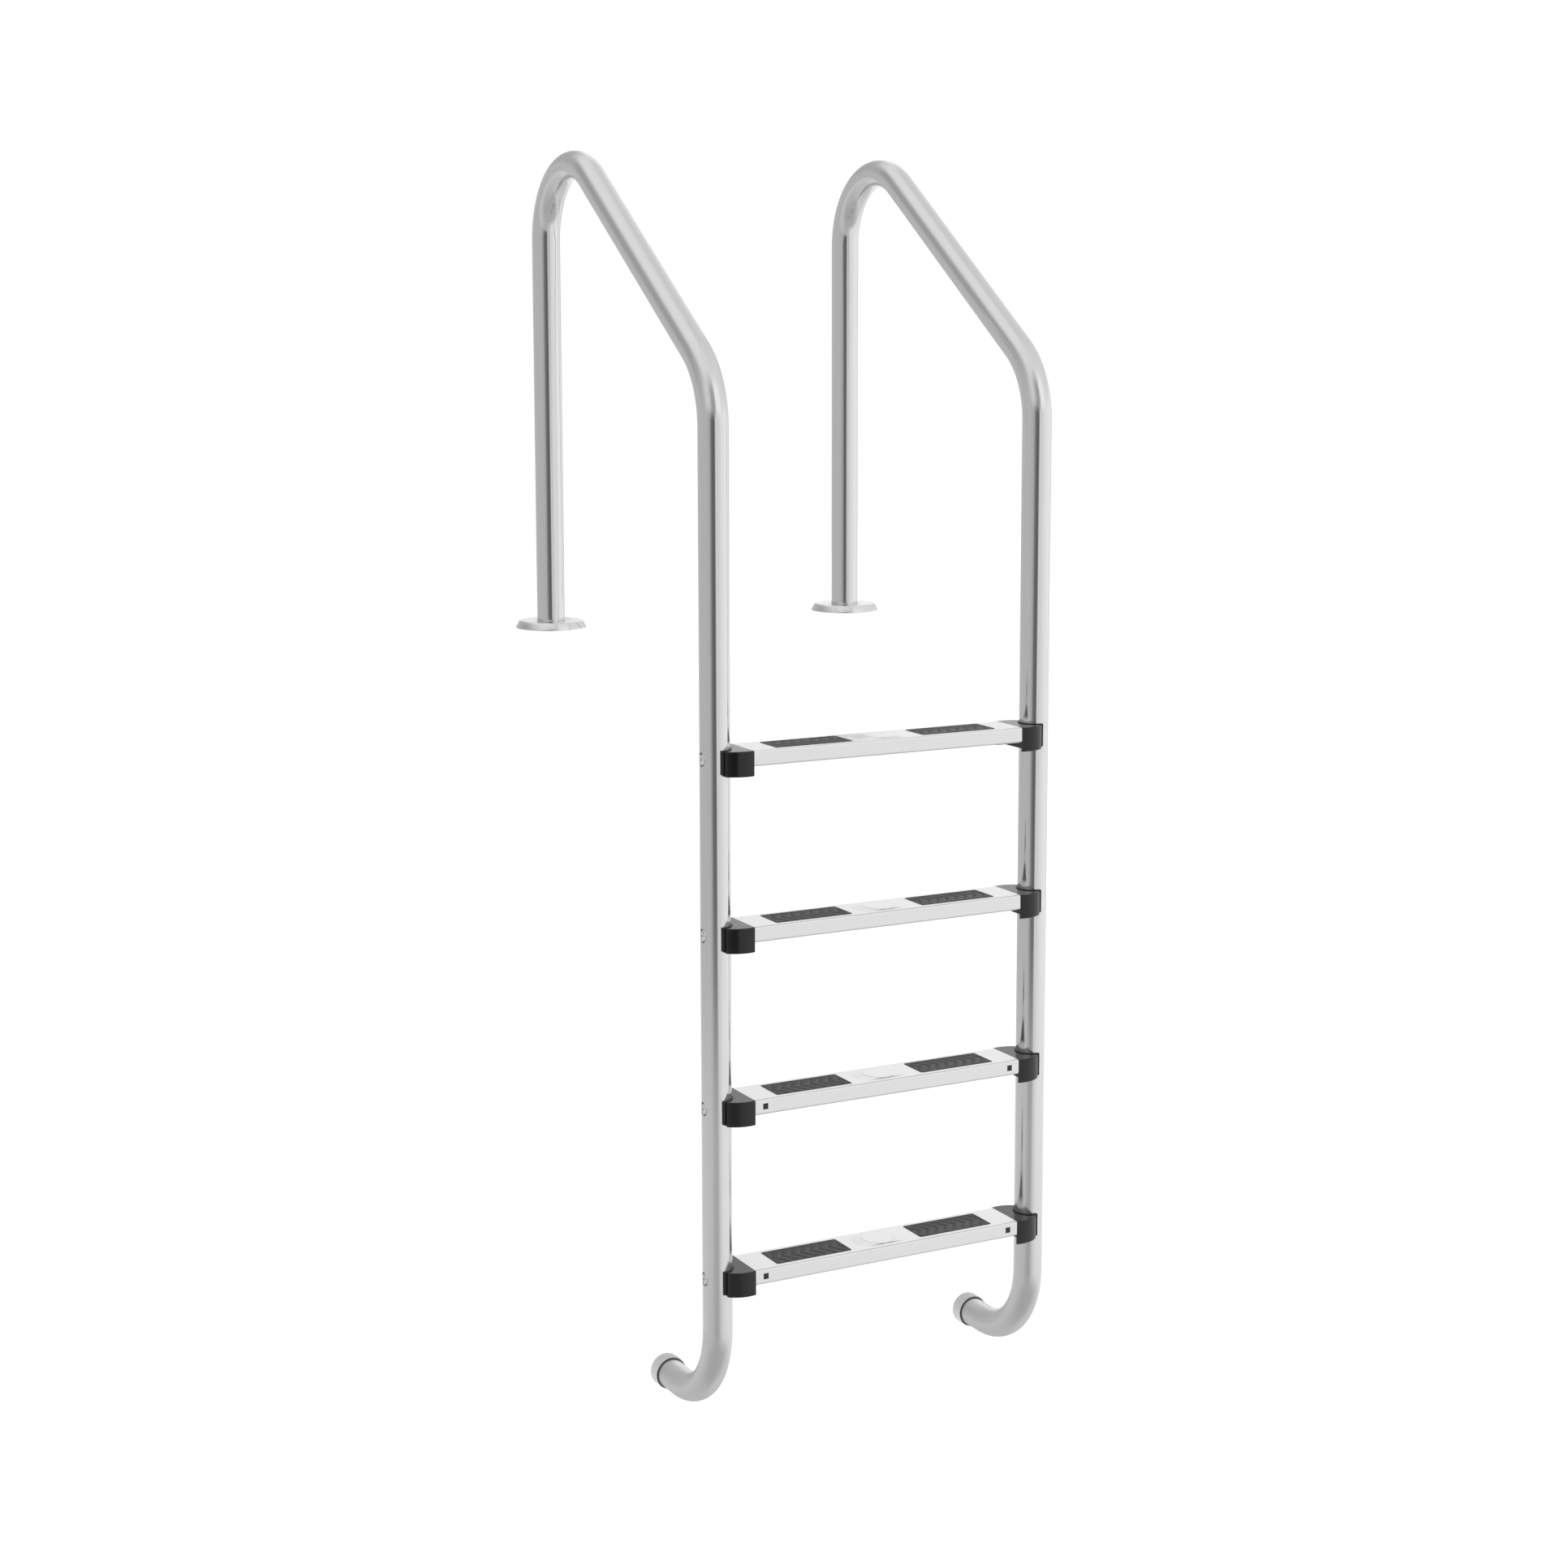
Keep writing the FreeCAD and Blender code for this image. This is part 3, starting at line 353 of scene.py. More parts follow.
def place_piece(bm, name, body, material, slot, *nodes, crease=35):
    """Turns a finished bmesh into a piece that rides on a body and stands for CAD nodes."""
    mesh = bpy.data.meshes.new(name)
    creased = [edge.is_boundary or not edge.smooth for edge in bm.edges]
    bm.to_mesh(mesh)
    bm.free()
    for face in mesh.polygons:
        face.use_smooth = True
    mesh.set_sharp_from_angle(angle=radians(crease))
    for edge, kept in zip(mesh.edges, creased):
        edge.use_edge_sharp = edge.use_edge_sharp or kept
    mesh.materials.append(material)
    piece = bpy.data.objects.new(name, mesh)
    bpy.context.scene.collection.objects.link(piece)
    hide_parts(*nodes)
    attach(piece, body)
    return piece


def split_kinds(geometry):
    """The vertices and the edges of an operator's result."""
    return ([item for item in geometry if isinstance(item, bmesh.types.BMVert)],
            [item for item in geometry if isinstance(item, bmesh.types.BMEdge)])


def draw_tube(axis_x):
    """One rail as drawn and bent: every ring also keeps its place on the straight tube."""
    bm = bmesh.new()
    straight = bm.verts.layers.float_vector.new("tube_space")
    bmesh.ops.create_circle(bm, segments=TUBE_SIDES, radius=TUBE_RADIUS)
    for vert in bm.verts:
        vert[straight] = vert.co.copy()
    bmesh.ops.translate(bm, verts=bm.verts, vec=(axis_x, 0.0, 0.0))

    def push_on(ring, move, length):
        verts, edges = split_kinds(bmesh.ops.extrude_edge_only(bm, edges=ring)["geom"])
        bmesh.ops.transform(bm, matrix=move, verts=verts)
        for vert in verts:
            vert[straight] = vert[straight] + Vector((0.0, 0.0, length))
        return edges

    slope = Vector((-REACH, LOW_CORNER - HIGH_CORNER))
    top_turn = atan2(-slope.x, slope.y)
    corners = [Vector((0.0, HIGH_CORNER)), Vector((-REACH, LOW_CORNER)),
               Vector((-REACH, -FOOT_DROP)), Vector((FOOT_RUN - REACH, -FOOT_DROP))]
    bends = [(TOP_BEND, top_turn), (LOW_BEND, pi - top_turn), (FOOT_BEND, pi / 2), (0.0, 0.0)]
    ring, turned, spot = list(bm.edges), 0.0, Vector((0.0, 0.0))
    for corner, (radius, turn) in zip(corners, bends):
        half = Vector((1.0, 0.0))
        half.rotate(Matrix.Rotation(turn / 2, 2))
        back = radius * half.y / half.x
        length = (corner - spot).length - back
        facing = Matrix.Rotation(turned, 3, "X")
        ahead = facing @ Vector((0.0, 0.0, length))
        ring = push_on(ring, Matrix.Translation(ahead), length)
        start = Vector((axis_x, spot.x, spot.y)) + ahead
        centre = start + facing @ Vector((0.0, -radius, 0.0))
        if turn:
            step = turn / BEND_STEPS
            swing = (Matrix.Translation(centre) @ Matrix.Rotation(step, 4, "X")
                     @ Matrix.Translation(-centre))
            for _ in range(BEND_STEPS):
                ring = push_on(ring, swing, radius * step)
            start = (centre + Matrix.Rotation(turn, 3, "X") @ (start - centre))
        turned += turn
        spot = Vector((start.y, start.z))
    bmesh.ops.recalc_face_normals(bm, faces=bm.faces)
    return bm


def make_mesh(bm, name):
    """A mesh from a bmesh, which is then done with."""
    mesh = bpy.data.meshes.new(name)
    bm.to_mesh(mesh)
    bm.free()
    return mesh


def press_dimples(rail, side):
    """A round dimple with a flat floor in the outer wall, for the head of each bolt."""
    hand = SIDES[side]
    levels = [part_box(f"tread_{number}")[1].z - BOLT_DROP for number in range(1, TREADS + 1)]
    punches, cups = bmesh.new(), bmesh.new()
    cups.verts.layers.float_vector.new("tube_space")
    depth = TUBE_RADIUS - DIMPLE_FLOOR
    flare = (DIMPLE_MOUTH - DIMPLE_RADIUS) / depth
    for level in levels:
        spot = Matrix.Translation((rail_x[side], -REACH, level)) @ Matrix.Rotation(
            hand * pi / 2, 4, "Y")
        bmesh.ops.create_cone(punches, cap_ends=True, segments=DIMPLE_SIDES,
                              radius1=DIMPLE_RADIUS, depth=2 * depth,
                              radius2=DIMPLE_RADIUS + 2 * depth * flare,
                              matrix=spot @ Matrix.Translation((0.0, 0.0, TUBE_RADIUS)))
        rim = bmesh.ops.create_circle(cups, segments=DIMPLE_SIDES,
                                       radius=DIMPLE_RADIUS)["verts"]
        ring = list({edge for vert in rim for edge in vert.link_edges})
        floor, ring = split_kinds(bmesh.ops.extrude_edge_only(cups, edges=ring)["geom"])
        # The rim flares out as it rises to the tube's wall, and the wall falls away to the
        # sides: each pass moves a point nearer to where the two meet.
        for vert in rim:
            for _ in range(RIM_PASSES):
                vert.co.z = ((TUBE_RADIUS - TUBE_WALL / 2) ** 2 - vert.co.y ** 2) ** 0.5
                wide = DIMPLE_RADIUS + (vert.co.z - DIMPLE_FLOOR) * flare
                vert.co.xy = vert.co.xy.normalized() * wide
        bmesh.ops.translate(cups, verts=floor, vec=(0.0, 0.0, DIMPLE_FLOOR))
        middle, _ = split_kinds(bmesh.ops.extrude_edge_only(cups, edges=ring)["geom"])
        bmesh.ops.scale(cups, verts=middle, vec=(BOLT_HOLE / DIMPLE_RADIUS,) * 2 + (1.0,))
        bmesh.ops.transform(cups, matrix=spot, verts=rim + floor + middle)
    bmesh.ops.recalc_face_normals(cups, faces=cups.faces)
    inwards = [face for face in cups.faces if face.normal.x * hand < 0]
    if len(inwards) > len(cups.faces) / 2:
        bmesh.ops.reverse_faces(cups, faces=cups.faces)
    bmesh.ops.solidify(cups, geom=cups.faces[:], thickness=DIMPLE_WALL)
    cutter = bpy.data.objects.new("punches", make_mesh(punches, "punches"))
    bpy.context.scene.collection.objects.link(cutter)
    cut = rail.modifiers.new("dimples", "BOOLEAN")
    cut.operation = "DIFFERENCE"
    cut.solver = "EXACT"
    cut.object = cutter
    shaped = bpy.data.meshes.new_from_object(
        rail.evaluated_get(bpy.context.evaluated_depsgraph_get()))
    rail.modifiers.clear()
    bpy.data.objects.remove(cutter)
    whole = bmesh.new()
    whole.from_mesh(shaped)
    for face in cups.faces:
        face.smooth = True
    for edge in cups.edges:
        edge.smooth = len(edge.link_faces) == 2 and edge.calc_face_angle() < CUP_CREASE
    whole.from_mesh(make_mesh(cups, "cups"))
    whole.to_mesh(shaped)
    whole.free()
    rail.data = shaped


rail_x = {}
for side in SIDES:
    lowest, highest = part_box(f"{side}_flange_cover")
    rail_x[side] = (lowest.x + highest.x) / 2
    rail = place_piece(draw_tube(rail_x[side]), f"{side}_rail_tube", "ladder", tube_steel,
                       "tube_steel", f"{side}_rail")
    wall = rail.modifiers.new("wall", "SOLIDIFY")
    wall.thickness = TUBE_WALL
    wall.offset = -1.0
    press_dimples(rail, side)

# ------------------------------------------------------------------ deck plates
# A plain round plate is welded to the foot of each post and screwed to the deck. It is
# out of sight under the cover, and is left as it comes from the lathe.
plate_steel = finish_steel("plate_steel", (0.62, 0.62, 0.62), grain_scale=700.0,
                           patch_scale=30.0, roughness=0.38, roughness_spread=0.25,
                           height=0.00001)
for side in SIDES:
    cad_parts[f"{side}_base_plate"].material_slots[0].material = plate_steel

# ------------------------------------------------------------------ flange covers
# Thin stainless covers pressed over a former, with a flat top, a sloping side and a
# short skirt that stands on the deck. Each slides up its post.
COVER_BORE = 0.0219
COVER_RIM = 0.055
COVER_TOP = 0.0495
COVER_HEIGHT = 0.0115
COVER_SKIRT = 0.0016
COVER_WALL = 0.0015
COVER_SIDES = 128
COVER_ROUND = 0.0021
COVER_EDGE = 0.0004
COVER_FOLD = 0.5                  # radians
MERGE_REACH = 0.000005            # points nearer than this are one
HAIR, CLOSE, NEARBY = 0.00001, 0.0001, 0.001      # how near counts as being at a place
cover_steel = finish_steel("cover_steel", (0.84, 0.845, 0.85), grain_scale=500.0,
                           patch_scale=18.0, roughness=0.20, roughness_spread=0.12,
                           height=0.000003)


def spin_profile(bm, points, centre, axis, steps):
    """Turns a closed outline of points all the way round an axis."""
    verts = [bm.verts.new(point) for point in points]
    edges = [bm.edges.new((a, b)) for a, b in zip(verts, verts[1:] + verts[:1])]
    bmesh.ops.spin(bm, geom=verts + edges, cent=centre, axis=axis, angle=2 * pi,
                   steps=steps, use_merge=True, use_duplicate=False)
    bmesh.ops.remove_doubles(bm, verts=bm.verts, dist=MERGE_REACH)
    bmesh.ops.recalc_face_normals(bm, faces=bm.faces)


def soften(bm, width, wanted, segments=3, **options):
    """Rounds the edges that a test picks out."""
    edges = [edge for edge in bm.edges if len(edge.link_faces) == 2 and wanted(edge)]
    bmesh.ops.bevel(bm, geom=edges, offset=width, segments=segments, profile=0.5,
                    affect="EDGES", material=-1, **options)


def is_corner(edge, least=0.7):
    """Whether two faces meet at more than an angle, in radians."""
    return edge.calc_face_angle() > least


def middle_of(item):
    """The middle of an edge or a face."""
    return sum((vert.co for vert in item.verts), Vector()) / len(item.verts)


for side in SIDES:
    bm = bmesh.new()
    spin_profile(bm, [(radius, 0.0, height) for radius, height in (
        (COVER_BORE, COVER_HEIGHT), (COVER_TOP, COVER_HEIGHT), (COVER_RIM, COVER_SKIRT),
        (COVER_RIM, 0.0), (COVER_RIM - COVER_WALL, 0.0), (COVER_RIM - COVER_WALL, COVER_SKIRT),
        (COVER_TOP - COVER_WALL, COVER_HEIGHT - COVER_WALL),
        (COVER_BORE, COVER_HEIGHT - COVER_WALL))], (0.0, 0.0, 0.0), (0.0, 0.0, 1.0),
        COVER_SIDES)
    soften(bm, COVER_ROUND, lambda edge: middle_of(edge).z > COVER_HEIGHT - CLOSE
           and middle_of(edge).xy.length > COVER_TOP - NEARBY
           and is_corner(edge, COVER_FOLD), segments=5)
    soften(bm, COVER_EDGE, lambda edge: is_corner(edge, COVER_FOLD), segments=2)
    bmesh.ops.translate(bm, verts=bm.verts, vec=(rail_x[side], 0.0, 0.0))
    place_piece(bm, f"{side}_cover_pressing", f"{side}_cover", cover_steel, "cover_steel",
                f"{side}_flange_cover")

# ------------------------------------------------------------------ treads
# Folded from 1.5 mm satin stainless sheet, with rounded folds and lips turned in below.
# Two windows take the grip pads, a plain ring is coined in the middle, and the two
# lower treads have square holes at the front for the snap tabs of their end caps.
SNAPPED = (3, 4)
HALF_LENGTH = 0.2205
HALF_DEPTH = 0.0365
TREAD_HEIGHT = 0.0225
TREAD_LIP = 0.010
FOLD_RADIUS = 0.003
SHEET = 0.0015
PAD_CENTRE = 0.1192
WINDOW_HALF = Vector((0.0618, 0.0268))
WINDOW_ROUND = 0.0033
RING_RADIUS = 0.025
RING_SIDES = 96
RING_STEPS = ((0.0007, -0.00016), (0.0005, 0.0), (0.0007, 0.00016))     # width, rise
SNAP_PLACE = (0.204, -0.0107)
SNAP_HALF = (0.004, 0.00425)
SAME_PLANE = 0.000001             # points nearer than this to a cut lie on it
tread_steel = finish_steel("tread_steel", (0.90, 0.902, 0.905), contrast=0.04,
                           stretch=(0.03, 1.0, 1.0), grain_scale=1400.0, patch_scale=8.0,
                           roughness=0.30, roughness_spread=0.12, height=0.000006)


def cut_across(bm, point, normal):
    """Splits the faces along a plane, and keeps both sides."""
    bmesh.ops.bisect_plane(bm, geom=bm.verts[:] + bm.edges[:] + bm.faces[:], dist=SAME_PLANE,
                           plane_co=point, plane_no=normal)


def faces_near(bm, point):
    """The faces whose middle is close to a point."""
    return [face for face in bm.faces if (face.calc_center_bounds() - point).length < NEARBY]


def level_normals(piece):
    """Flat faces shade flat right up to their rounded edges."""
    flat = piece.modifiers.new("flat", "WEIGHTED_NORMAL")
    flat.keep_sharp = True


def fold_tread(snapped):
    """The outer face of a tread's sheet, round the origin; snapped adds the square holes."""
    bm = bmesh.new()
    lip = HALF_DEPTH - TREAD_LIP
    outline = [(-lip, -TREAD_HEIGHT), (-HALF_DEPTH, -TREAD_HEIGHT), (-HALF_DEPTH, 0.0),
               (HALF_DEPTH, 0.0), (HALF_DEPTH, -TREAD_HEIGHT), (lip, -TREAD_HEIGHT)]
    verts = [bm.verts.new((-HALF_LENGTH, y, z)) for y, z in outline]
    edges = [bm.edges.new(pair) for pair in zip(verts, verts[1:])]
    drawn, _ = split_kinds(bmesh.ops.extrude_edge_only(bm, edges=edges)["geom"])
    bmesh.ops.translate(bm, verts=drawn, vec=(2 * HALF_LENGTH, 0.0, 0.0))
    soften(bm, FOLD_RADIUS, lambda edge: True, segments=8)
    for hand in (-1, 1):
        for end in (-1, 1):
            cut_across(bm, (hand * PAD_CENTRE + end * WINDOW_HALF.x, 0.0, 0.0), (1.0, 0.0, 0.0))
        cut_across(bm, (0.0, hand * WINDOW_HALF.y, 0.0), (0.0, 1.0, 0.0))
    windows = [faces_near(bm, Vector((hand * PAD_CENTRE, 0.0, 0.0)))[0] for hand in (-1, 1)]
    corners = [vert for window in windows for vert in window.verts]
    bmesh.ops.bevel(bm, geom=corners, offset=WINDOW_ROUND, segments=6, profile=0.5,
                    affect="VERTICES", material=-1)
    snaps = []
    if snapped:
        for hand in (-1, 1):
            for end in (-1, 1):
                cut_across(bm, (hand * SNAP_PLACE[0] + end * SNAP_HALF[0], 0.0, 0.0),
                           (1.0, 0.0, 0.0))
        for end in (-1, 1):
            cut_across(bm, (0.0, 0.0, SNAP_PLACE[1] + end * SNAP_HALF[1]), (0.0, 0.0, 1.0))
        snaps = [face for hand in (-1, 1) for face in faces_near(
            bm, Vector((hand * SNAP_PLACE[0], -HALF_DEPTH, SNAP_PLACE[1])))]
    windows = [face for hand in (-1, 1)
               for face in faces_near(bm, Vector((hand * PAD_CENTRE, 0.0, 0.0)))]
    middle = faces_near(bm, Vector((0.0, 0.0, 0.0)))
    around = [edge for face in middle for edge in face.edges]
    bmesh.ops.delete(bm, geom=windows + snaps + middle, context="FACES_ONLY")
    coin_ring(bm, around)
    bmesh.ops.recalc_face_normals(bm, faces=bm.faces)
    return bm


def coin_ring(bm, around):
    """A shallow flat-bottomed ring pressed into the sheet inside a rectangular opening.

    Known fault: the insets move the disc's edges inwards, so rim is no longer the outer
    loop. The sheet is joined one step in, with a stray flap outside and the disc raised.
    """
    made = bmesh.ops.create_circle(bm, cap_ends=True, segments=RING_SIDES,
                                   radius=RING_RADIUS)
    disc = made["verts"][0].link_faces[0]
    if disc.normal.z < 0:
        disc.normal_flip()
    rim = list(disc.edges)
    creases = rim[:]
    for width, depth in RING_STEPS:
        bmesh.ops.inset_region(bm, faces=[disc], thickness=width, depth=depth,
                               use_boundary=True, use_even_offset=True)
        creases += disc.edges
    for edge in creases:
        edge.smooth = False
    bmesh.ops.triangle_fill(bm, use_beauty=True, edges=around + rim)


tread_place = {}
for number in range(1, TREADS + 1):
    lowest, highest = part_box(f"tread_{number}")
    tread_place[number] = Vector((0.0, (lowest.y + highest.y) / 2, highest.z))
    bm = fold_tread(number in SNAPPED)
    bmesh.ops.translate(bm, verts=bm.verts, vec=tread_place[number])
    tread = place_piece(bm, f"tread_{number}_channel", "ladder", tread_steel, "tread_steel",
                        f"tread_{number}")
    sheet = tread.modifiers.new("sheet", "SOLIDIFY")
    sheet.thickness = SHEET
    sheet.offset = -1.0
    sheet.use_even_offset = True
    level_normals(tread)

# ------------------------------------------------------------------ grip pads
# Moulded rubber inserts pushed up through the windows and held by a wider shoulder
# under the sheet. A herringbone of grooves runs inside a plain rim.
PAD_HALF = Vector((0.0615, 0.0265))
PAD_ROUND = 0.003
PAD_PROUD = 0.0006
PAD_EDGE = 0.0008
PAD_RIM = 0.002
PAD_FLOOR = 0.00155
PAD_BASE = 0.002
PAD_SHOULDER = 0.003
PAD_BEVEL = 0.00022
PAD_CREASE = radians(30)
GROOVES = 10
GROOVE_PITCH = 0.0154
GROOVE_WIDTH = 0.0066
GROOVE_SLOPE = 0.0028
GROOVE_SINK = 0.0013
GROOVE_SWEEP = 0.0174
GROOVE_REACH = 0.0275
GROOVE_START = -0.0866


def make_rub_group():
    """Where corners have been rubbed: a mask from the sharpness of the surface, broken up."""
    group, given, out = new_group("edge_rub", [
        ("Vector", "vector", None), ("Scale", "value", 120.0), ("Amount", "value", 0.5)],
        [("Mask", "value")])
    shape = group.nodes.new("ShaderNodeNewGeometry")
    sharp = group.nodes.new("ShaderNodeMapRange")
    sharp.inputs["From Min"].default_value = 0.51
    sharp.inputs["From Max"].default_value = 0.60
    group.links.new(shape.outputs["Pointiness"], sharp.inputs["Value"])
    breaks = group.nodes.new("ShaderNodeTexNoise")
    breaks.inputs["Detail"].default_value = 5.0
    group.links.new(given.outputs["Vector"], breaks.inputs["Vector"])
    group.links.new(given.outputs["Scale"], breaks.inputs["Scale"])
    worn = calculate(group, "MULTIPLY", sharp.outputs["Result"], breaks.outputs["Fac"])
    group.links.new(calculate(group, "MULTIPLY", worn, given.outputs["Amount"], clamp=True),
                    out.inputs["Mask"])
    return group


rub_group = make_rub_group()


def finish_moulding(name, dark, light, rubbed, specular=0.5, rub=0.5, **values):
    """Moulded rubber or plastic: fine skin, soft patches and rubbed corners."""
    material, tree, shader = new_finish(name, light, specular=specular)
    place = read_place(tree)
    colour = add_grain(tree, shader, place, dark, light, **values)
    use = tree.nodes.new("ShaderNodeGroup")
    use.node_tree = rub_group
    use.inputs["Amount"].default_value = rub
    tree.links.new(place, use.inputs["Vector"])
    tree.links.new(mix_colours(tree, use.outputs["Mask"], colour, rubbed),
                   shader.inputs["Base Color"])
    return material


pad_rubber = finish_moulding("pad_rubber", (0.046, 0.046, 0.047), (0.074, 0.074, 0.076),
                             (0.12, 0.12, 0.12), rub=0.6, grain_scale=1500.0,
                             patch_scale=60.0, roughness=0.58, roughness_spread=0.2,
                             height=0.00008)


def groove_at(point):
    """Whether a point of the pad's top lies in one of its grooves."""
    along = point.x - GROOVE_START - GROOVE_SWEEP * (1.0 - abs(point.y) / GROOVE_REACH)
    return along > 0 and along % GROOVE_PITCH < GROOVE_WIDTH


def mould_pad():
    """A grip pad round the origin, with the tread's top at z = 0 and its own a little above."""
    bm = bmesh.new()
    bmesh.ops.create_grid(bm, x_segments=1, y_segments=1, size=1.0)
    bmesh.ops.scale(bm, verts=bm.verts, vec=(PAD_HALF.x - PAD_EDGE, PAD_HALF.y - PAD_EDGE, 1.0))
    bmesh.ops.bevel(bm, geom=bm.verts[:], offset=PAD_ROUND, segments=6, profile=0.5,
                    affect="VERTICES", material=-1)
    inside = PAD_HALF - Vector((PAD_RIM, PAD_RIM))
    for end in (-1, 1):
        cut_across(bm, (end * inside.x, 0.0, 0.0), (1.0, 0.0, 0.0))
        cut_across(bm, (0.0, end * inside.y, 0.0), (0.0, 1.0, 0.0))
    cut_across(bm, (0.0, 0.0, 0.0), (0.0, 1.0, 0.0))
    for hand in (-1, 1):
        for number in range(GROOVES):
            for edge in (0.0, GROOVE_WIDTH):
                x = GROOVE_START + number * GROOVE_PITCH + edge
                field = [face for face in bm.faces
                         if middle_of(face).y * hand > 0
                         and abs(middle_of(face).y) < inside.y
                         and abs(middle_of(face).x) < inside.x]
                parts = {item for face in field for item in (*face.verts, *face.edges)}
                bmesh.ops.bisect_plane(
                    bm, geom=field + list(parts), dist=SAME_PLANE,
                    plane_co=(x + GROOVE_SWEEP, 0.0, 0.0),
                    plane_no=(GROOVE_REACH, hand * GROOVE_SWEEP, 0.0))
    top = bm.faces[:]
    if top[0].normal.z < 0:
        bmesh.ops.reverse_faces(bm, faces=top)
    # Known fault: near the pad's ends the slope over-runs the smallest of these faces.
    grooves = [face for face in top
               if abs(face.calc_center_median().x) < inside.x
               and abs(face.calc_center_median().y) < inside.y
               and groove_at(face.calc_center_median())]
    bmesh.ops.inset_region(bm, faces=grooves, thickness=GROOVE_SLOPE, depth=-GROOVE_SINK,
                           use_boundary=True, use_even_offset=True)
    ring = [edge for edge in bm.edges if edge.is_boundary]
    for drop, spread in ((PAD_PROUD, PAD_EDGE), (PAD_FLOOR, 0.0), (0.0, PAD_SHOULDER),
                         (PAD_BASE, 0.0)):
        verts, ring = split_kinds(bmesh.ops.extrude_edge_only(bm, edges=ring)["geom"])
        bmesh.ops.translate(bm, verts=verts, vec=(0.0, 0.0, -drop))
        bmesh.ops.scale(bm, verts=verts, vec=(1.0 + spread / PAD_HALF.x,
                                              1.0 + spread / PAD_HALF.y, 1.0))
    bmesh.ops.holes_fill(bm, edges=ring, sides=0)
    bmesh.ops.recalc_face_normals(bm, faces=bm.faces)
    bmesh.ops.translate(bm, verts=bm.verts, vec=(0.0, 0.0, PAD_PROUD))
    return bm


for number in range(1, TREADS + 1):
    for side, hand in SIDES.items():
        bm = mould_pad()
        if hand < 0:
            bmesh.ops.rotate(bm, verts=bm.verts, matrix=Matrix.Rotation(pi, 3, "Z"))
        bmesh.ops.translate(bm, verts=bm.verts,
                            vec=tread_place[number] + Vector((hand * PAD_CENTRE, 0.0, 0.0)))
        pad = place_piece(bm, f"tread_{number}_{side}_grip", "ladder", pad_rubber,
                          "pad_rubber", f"tread_{number}_{side}_pad")
        edge = pad.modifiers.new("edge", "BEVEL")
        edge.width = PAD_BEVEL
        edge.segments = 2
        edge.limit_method = "ANGLE"
        edge.angle_limit = PAD_CREASE

# ------------------------------------------------------------------ end caps
# Black moulded nylon caps close the ends of each tread. Their bowed front and back run
# on into ears that hug the tube, and a plug on the inner side fits into the channel.
CAP_REACH = 0.043
CAP_HEIGHT = 0.036
CAP_HALF = 0.0373
CAP_BOW = 0.043
EAR_PLACE = (-0.003, 0.027)
EAR_ROUND = 0.0018
CAP_EDGE = 0.0016
CAP_BORE = 0.0241
SKIRT_HALF = 0.0343
SKIRT_DEEP = 0.011
SKIRT_LONG = 0.016
PLUG_LONG = 0.024
PLUG_HALF = 0.0347
PLUG_TOP, PLUG_LOW = -0.0018, -0.0207
PLUG_BITE = 0.0005                # how far the plug runs into the cap
PLUG_EDGE = 0.0015
TAB_SIZE = (0.0074, 0.0022, 0.0079)
TAB_PROUD = 0.0004
TAB_EDGE = 0.0006
BOW_STEPS = 14
BORE_STEPS = 48
cap_plastic = finish_moulding("cap_plastic", (0.003, 0.003, 0.003), (0.007, 0.007, 0.007),
                              (0.03, 0.03, 0.03), rub=0.35, grain_scale=1100.0,
                              patch_scale=40.0, roughness=0.17, roughness_spread=0.08,
                              height=0.000005)


def swing_point(bm, point, centre, angle, steps):
    """An arc of edges that a point draws round a centre; returns its vertices in order."""
    start = bm.verts.new(point)
    known = set(bm.verts)
    bmesh.ops.spin(bm, geom=[start], cent=centre, axis=(0.0, 0.0, 1.0), angle=angle,
                   steps=steps, use_duplicate=False)
    bm.verts.ensure_lookup_table()
    return [start] + [vert for vert in bm.verts if vert not in known]


def bow_centre(first, last):
    """Centre of the bow that bulges towards +Y, and the angle that it turns through."""
    chord = last - first
    out = Vector((-chord.y, chord.x, 0.0)).normalized()
    sink = (CAP_BOW ** 2 - chord.length_squared / 4) ** 0.5
    centre = (first + last) / 2 - out * sink
    return centre, -(first - centre).angle(last - centre)


